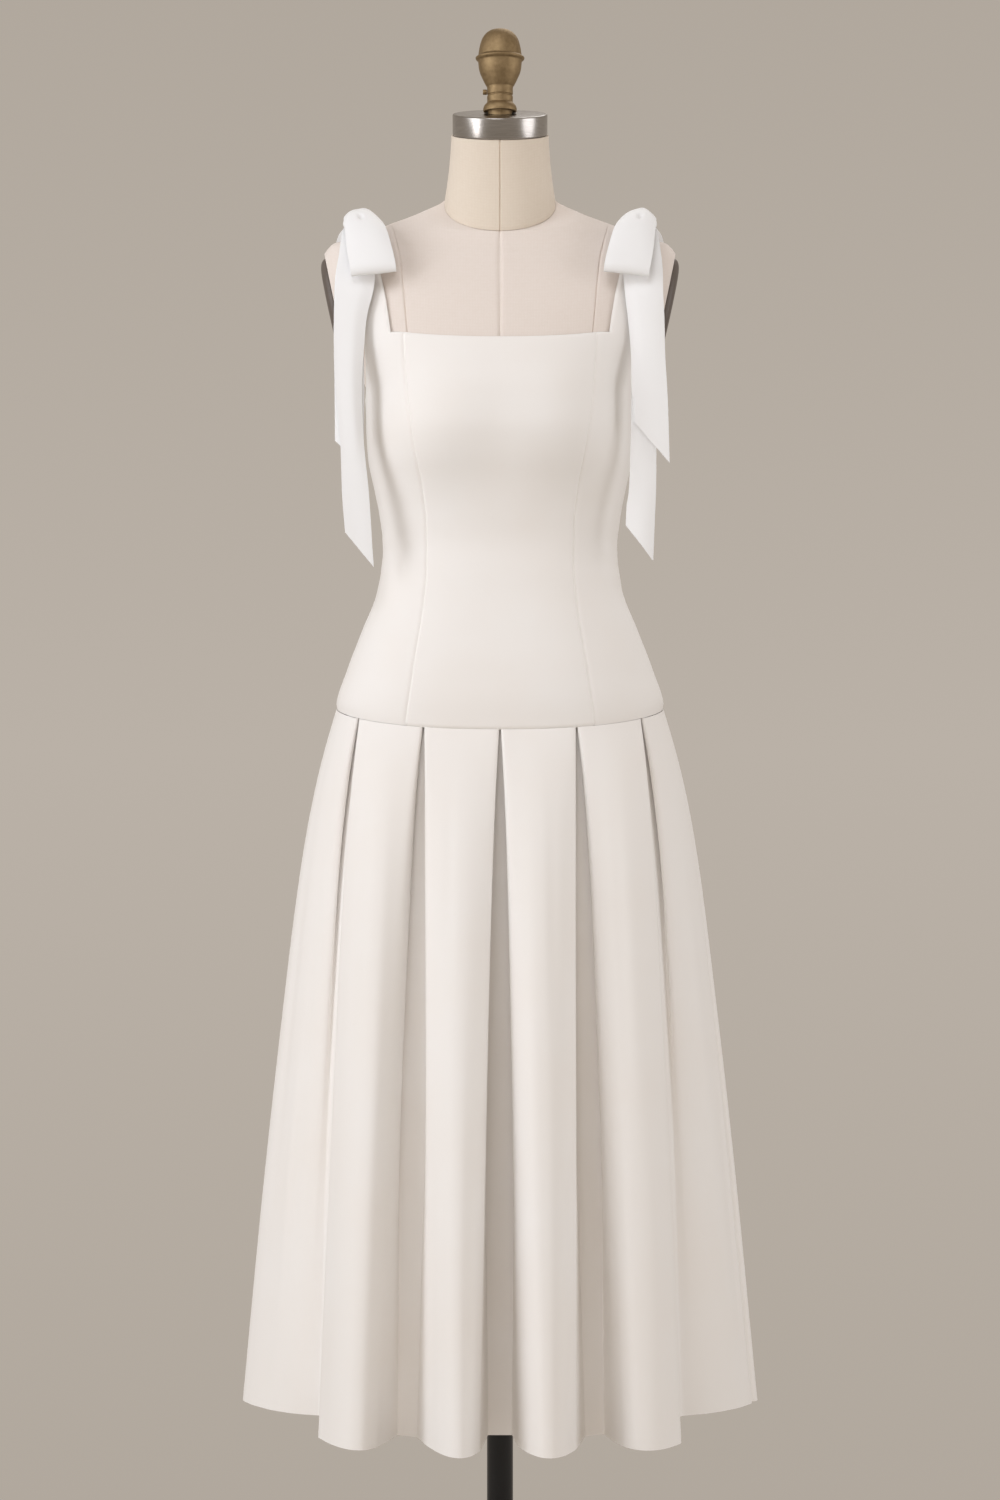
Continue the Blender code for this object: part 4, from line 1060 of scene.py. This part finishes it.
def edged(radius, high, low, edge, steps=5):  # profile of a disc with rounded edges, from the top down
    turns = [math.pi / 2 * i / steps for i in range(steps + 1)]
    upper = [(radius - edge + edge * math.sin(t), high - edge + edge * math.cos(t)) for t in turns]
    lower = [(radius - edge + edge * math.cos(t), low + edge - edge * math.sin(t)) for t in turns]
    return upper + lower


def headFittings():
    cap = formCut["cap"]
    band = edged(cap["radius"], 0.0, -cap["height"], fittings["capEdge"])
    band = turnedPiece("neck_cap_steel", band, brushedSteel, "neck_cap", steps=fittings["capSteps"])
    band.data.transform(Matrix.Translation(cap["top"]) @ Matrix.Rotation(cap["tilt"], 4, "X"))
    rows = [(radius * mm, cap["top"].z + height * mm) for radius, height in fittings["finial"]]
    finial = turnedPiece("finial_brass", finerProfile(rows, 5), antiquedBrass, "finial",
                         centre=(cap["top"].x, cap["top"].y), steps=fittings["steps"])
    sliceOff(finial, cap["top"] + Vector((0, 0, dress["gap"])), -capUp)
    size = fittings["screw"]
    screw = turnedPiece("finial_set_screw_brass", edged(size["radius"], size["long"], 0.0, size["edge"]),
                        antiquedBrass, "finial_set_screw", steps=40)
    place = Vector((-size["from"], cap["top"].y, cap["top"].z + size["rise"]))
    screw.data.transform(Matrix.Translation(place) @ Matrix.Rotation(-math.pi / 2, 4, "Y"))


def armPlate(side, word):
    arm, step = formCut["arm"], fittings["plateStep"]
    rows = finerProfile([(radius, height * mm) for radius, height in fittings["plate"]], 4)
    rows += [(1.0, step - arm["thick"] + arm["rim"]), (1.0, step - arm["thick"]), (0.994, -arm["thick"])]
    piece = turnedPiece("arm_plate_paint_" + word, rows, platePaint, "arm_plate_" + word,
                        steps=fittings["steps"])
    piece.data.transform(Matrix.Diagonal((arm["half"][0], arm["half"][1], 1.0, 1.0)))
    down = Vector((-side * math.sin(arm["tilt"]), 0, -math.cos(arm["tilt"])))
    place = Vector((side * arm["x"], arm["y"], arm["z"])) + down * arm["down"]
    place += armOutward(side) * (arm["thick"] + dress["gap"])
    turn = Matrix.Rotation(side * (math.pi / 2 + arm["tilt"]), 4, "Y")
    piece.data.transform(Matrix.Translation(place) @ turn)


headFittings()
for side, word in sides:
    armPlate(side, word)


print("stand")
stand = {
    "poleRadius": 13 * mm, "baseRadius": 0.190, "baseHeight": 12 * mm, "socketRadius": 32 * mm,
    "socketHeight": 14 * mm, "collarHeight": 42 * mm,
    # radius, height above the base in millimetres, from the top down
    "collar": ((16, 42), (18, 42), (19.4, 41.4), (20, 40), (20, 27), (20, 14), (21, 11.2), (24, 9), (29, 6.6),
               (34, 5), (35.4, 3), (36, 0)),
    "edges": {"base": 5 * mm, "pole": 0.4 * mm, "socket": 2 * mm},
}


def standPieces():
    gap, edges = dress["gap"], stand["edges"]
    base = [(0.030, stand["baseHeight"])]
    base += edged(stand["baseRadius"], stand["baseHeight"], 0.0, edges["base"], 8)[:10]   # its foot stays square
    base += [(stand["baseRadius"], 0.0)]
    foot = stand["baseHeight"] + gap
    collar = [(radius * mm, foot + height * mm) for radius, height in stand["collar"]]
    poleFoot = foot + stand["collarHeight"] + gap
    poleTop = formCut["bottom"] - stand["socketHeight"]
    socketTop = formCut["bottom"] - gap
    profiles = {
        "stand_base": base,
        "stand_collar": collar,
        "stand_pole": edged(stand["poleRadius"], poleTop, poleFoot, edges["pole"]),
        "pole_socket": edged(stand["socketRadius"], socketTop, poleTop + gap, edges["socket"]),
    }
    for node, profile in profiles.items():
        turnedPiece(node + "_enamel", profile, blackEnamel, node, steps=128)


standPieces()


print("surroundings")
# near is the backdrop's tone at eye level; far is painted shade above and below it, where the light falls off
backdrop = {"near": "#bab1a7", "far": "#aaa196", "floor": "#b3aaa0", "fadeFrom": 0.24, "floorRadius": 0.55}
lights = (                   # name, position, aimed at, size, watts, colour
    ("soft_key", (-2.7, -1.5, 2.05), (0.0, 0.0, 1.3), 2.3, 39.5, "#f4f8ff"),
    ("low_left", (-2.6, -1.5, 0.85), (0.0, 0.0, 1.1), 0.9, 11.0, "#fbfbff"),
    ("side_fill", (3.0, -0.9, 1.3), (0.0, 0.0, 0.75), 2.0, 27.0, "#f7f9ff"),
    ("high_front", (-0.3, -1.4, 2.5), (0.0, 0.0, 1.2), 0.9, 8.0, "#f6f8ff"),
    ("front_fill", (0.0, -3.1, 0.2), (0.0, 0.0, 0.5), 1.2, 7.0, "#fff0e2"),
    ("top_rim", (0.4, 1.0, 2.9), (0.0, 0.0, 1.3), 1.2, 8.0, "#fdfdff"),
)


def worldLight():
    world = bpy.data.worlds.new("backdrop")
    world.use_nodes = True
    bpy.context.scene.world = world
    tree = world.node_tree
    place = addNode(tree, "ShaderNodeTexCoord").outputs["Generated"]
    parts = addNode(tree, "ShaderNodeSeparateXYZ", i0=place)
    height = addNode(tree, "ShaderNodeMath", {"operation": "ABSOLUTE"}, i0=parts.outputs["Z"])
    # painted shade: the backdrop turns darker above and below eye level, standing in for the light's fall-off
    share = scaled(tree, height.outputs[0], 2.4, use_clamp=True)
    ground = tree.nodes["Background"]
    addTone(tree, share, backdrop["near"], backdrop["far"], ground.inputs["Color"])
    ground.inputs["Strength"].default_value = 1.0


def floorDisc():  # a floor that fades into the backdrop
    made, tree, shader = newMaterial("studio_floor", Roughness=0.9, Base_Color=linear(backdrop["floor"]))
    place = addNode(tree, "ShaderNodeTexCoord").outputs["Object"]
    far = addNode(tree, "ShaderNodeVectorMath", {"operation": "LENGTH"}, i0=place)
    fade = addNode(tree, "ShaderNodeMapRange", {"interpolation_type": "SMOOTHSTEP"}, Value=far.outputs["Value"])
    fadeRange = {"From Min": backdrop["fadeFrom"], "From Max": backdrop["floorRadius"], "To Min": 1.0, "To Max": 0.0}
    for key, value in fadeRange.items():
        fade.inputs[key].default_value = value
    tree.links.new(fade.outputs["Result"], shader.inputs["Alpha"])
    steps, radius = 96, backdrop["floorRadius"]
    ring = [(radius * math.cos(2 * math.pi * i / steps), radius * math.sin(2 * math.pi * i / steps), -1 * mm)
            for i in range(steps)]
    mesh = bpy.data.meshes.new("floor")
    mesh.from_pydata(ring, [], [tuple(range(steps))])
    mesh.materials.append(made)
    put("floor", mesh)


def softLights():
    for name, place, aim, size, watts, colour in lights:
        data = bpy.data.lights.new(name, "AREA")
        data.shape = "DISK"
        data.size = size
        data.energy = watts
        data.color = linear(colour)[:3]
        lamp = put(name, data, place, (Vector(aim) - Vector(place)).to_track_quat("-Z", "Y").to_euler())
        lamp.visible_glossy = name != "front_fill"    # a wide soft glow, with no streak of its own on the cap


def frontCamera():
    data = bpy.data.cameras.new("front")
    data.lens = camera["lens"]
    data.sensor_fit = "VERTICAL"
    data.sensor_height = camera["sensor"]
    eye = put("front", data, (0.0, -camera["distance"], camera["height"]), (math.pi / 2, 0, 0))
    bpy.context.scene.camera = eye


worldLight()
floorDisc()
softLights()
frontCamera()
view = bpy.context.scene.view_settings
view.view_transform = "Standard"
view.look = "None"


print("cloth")              # what each piece was cut to, in metres
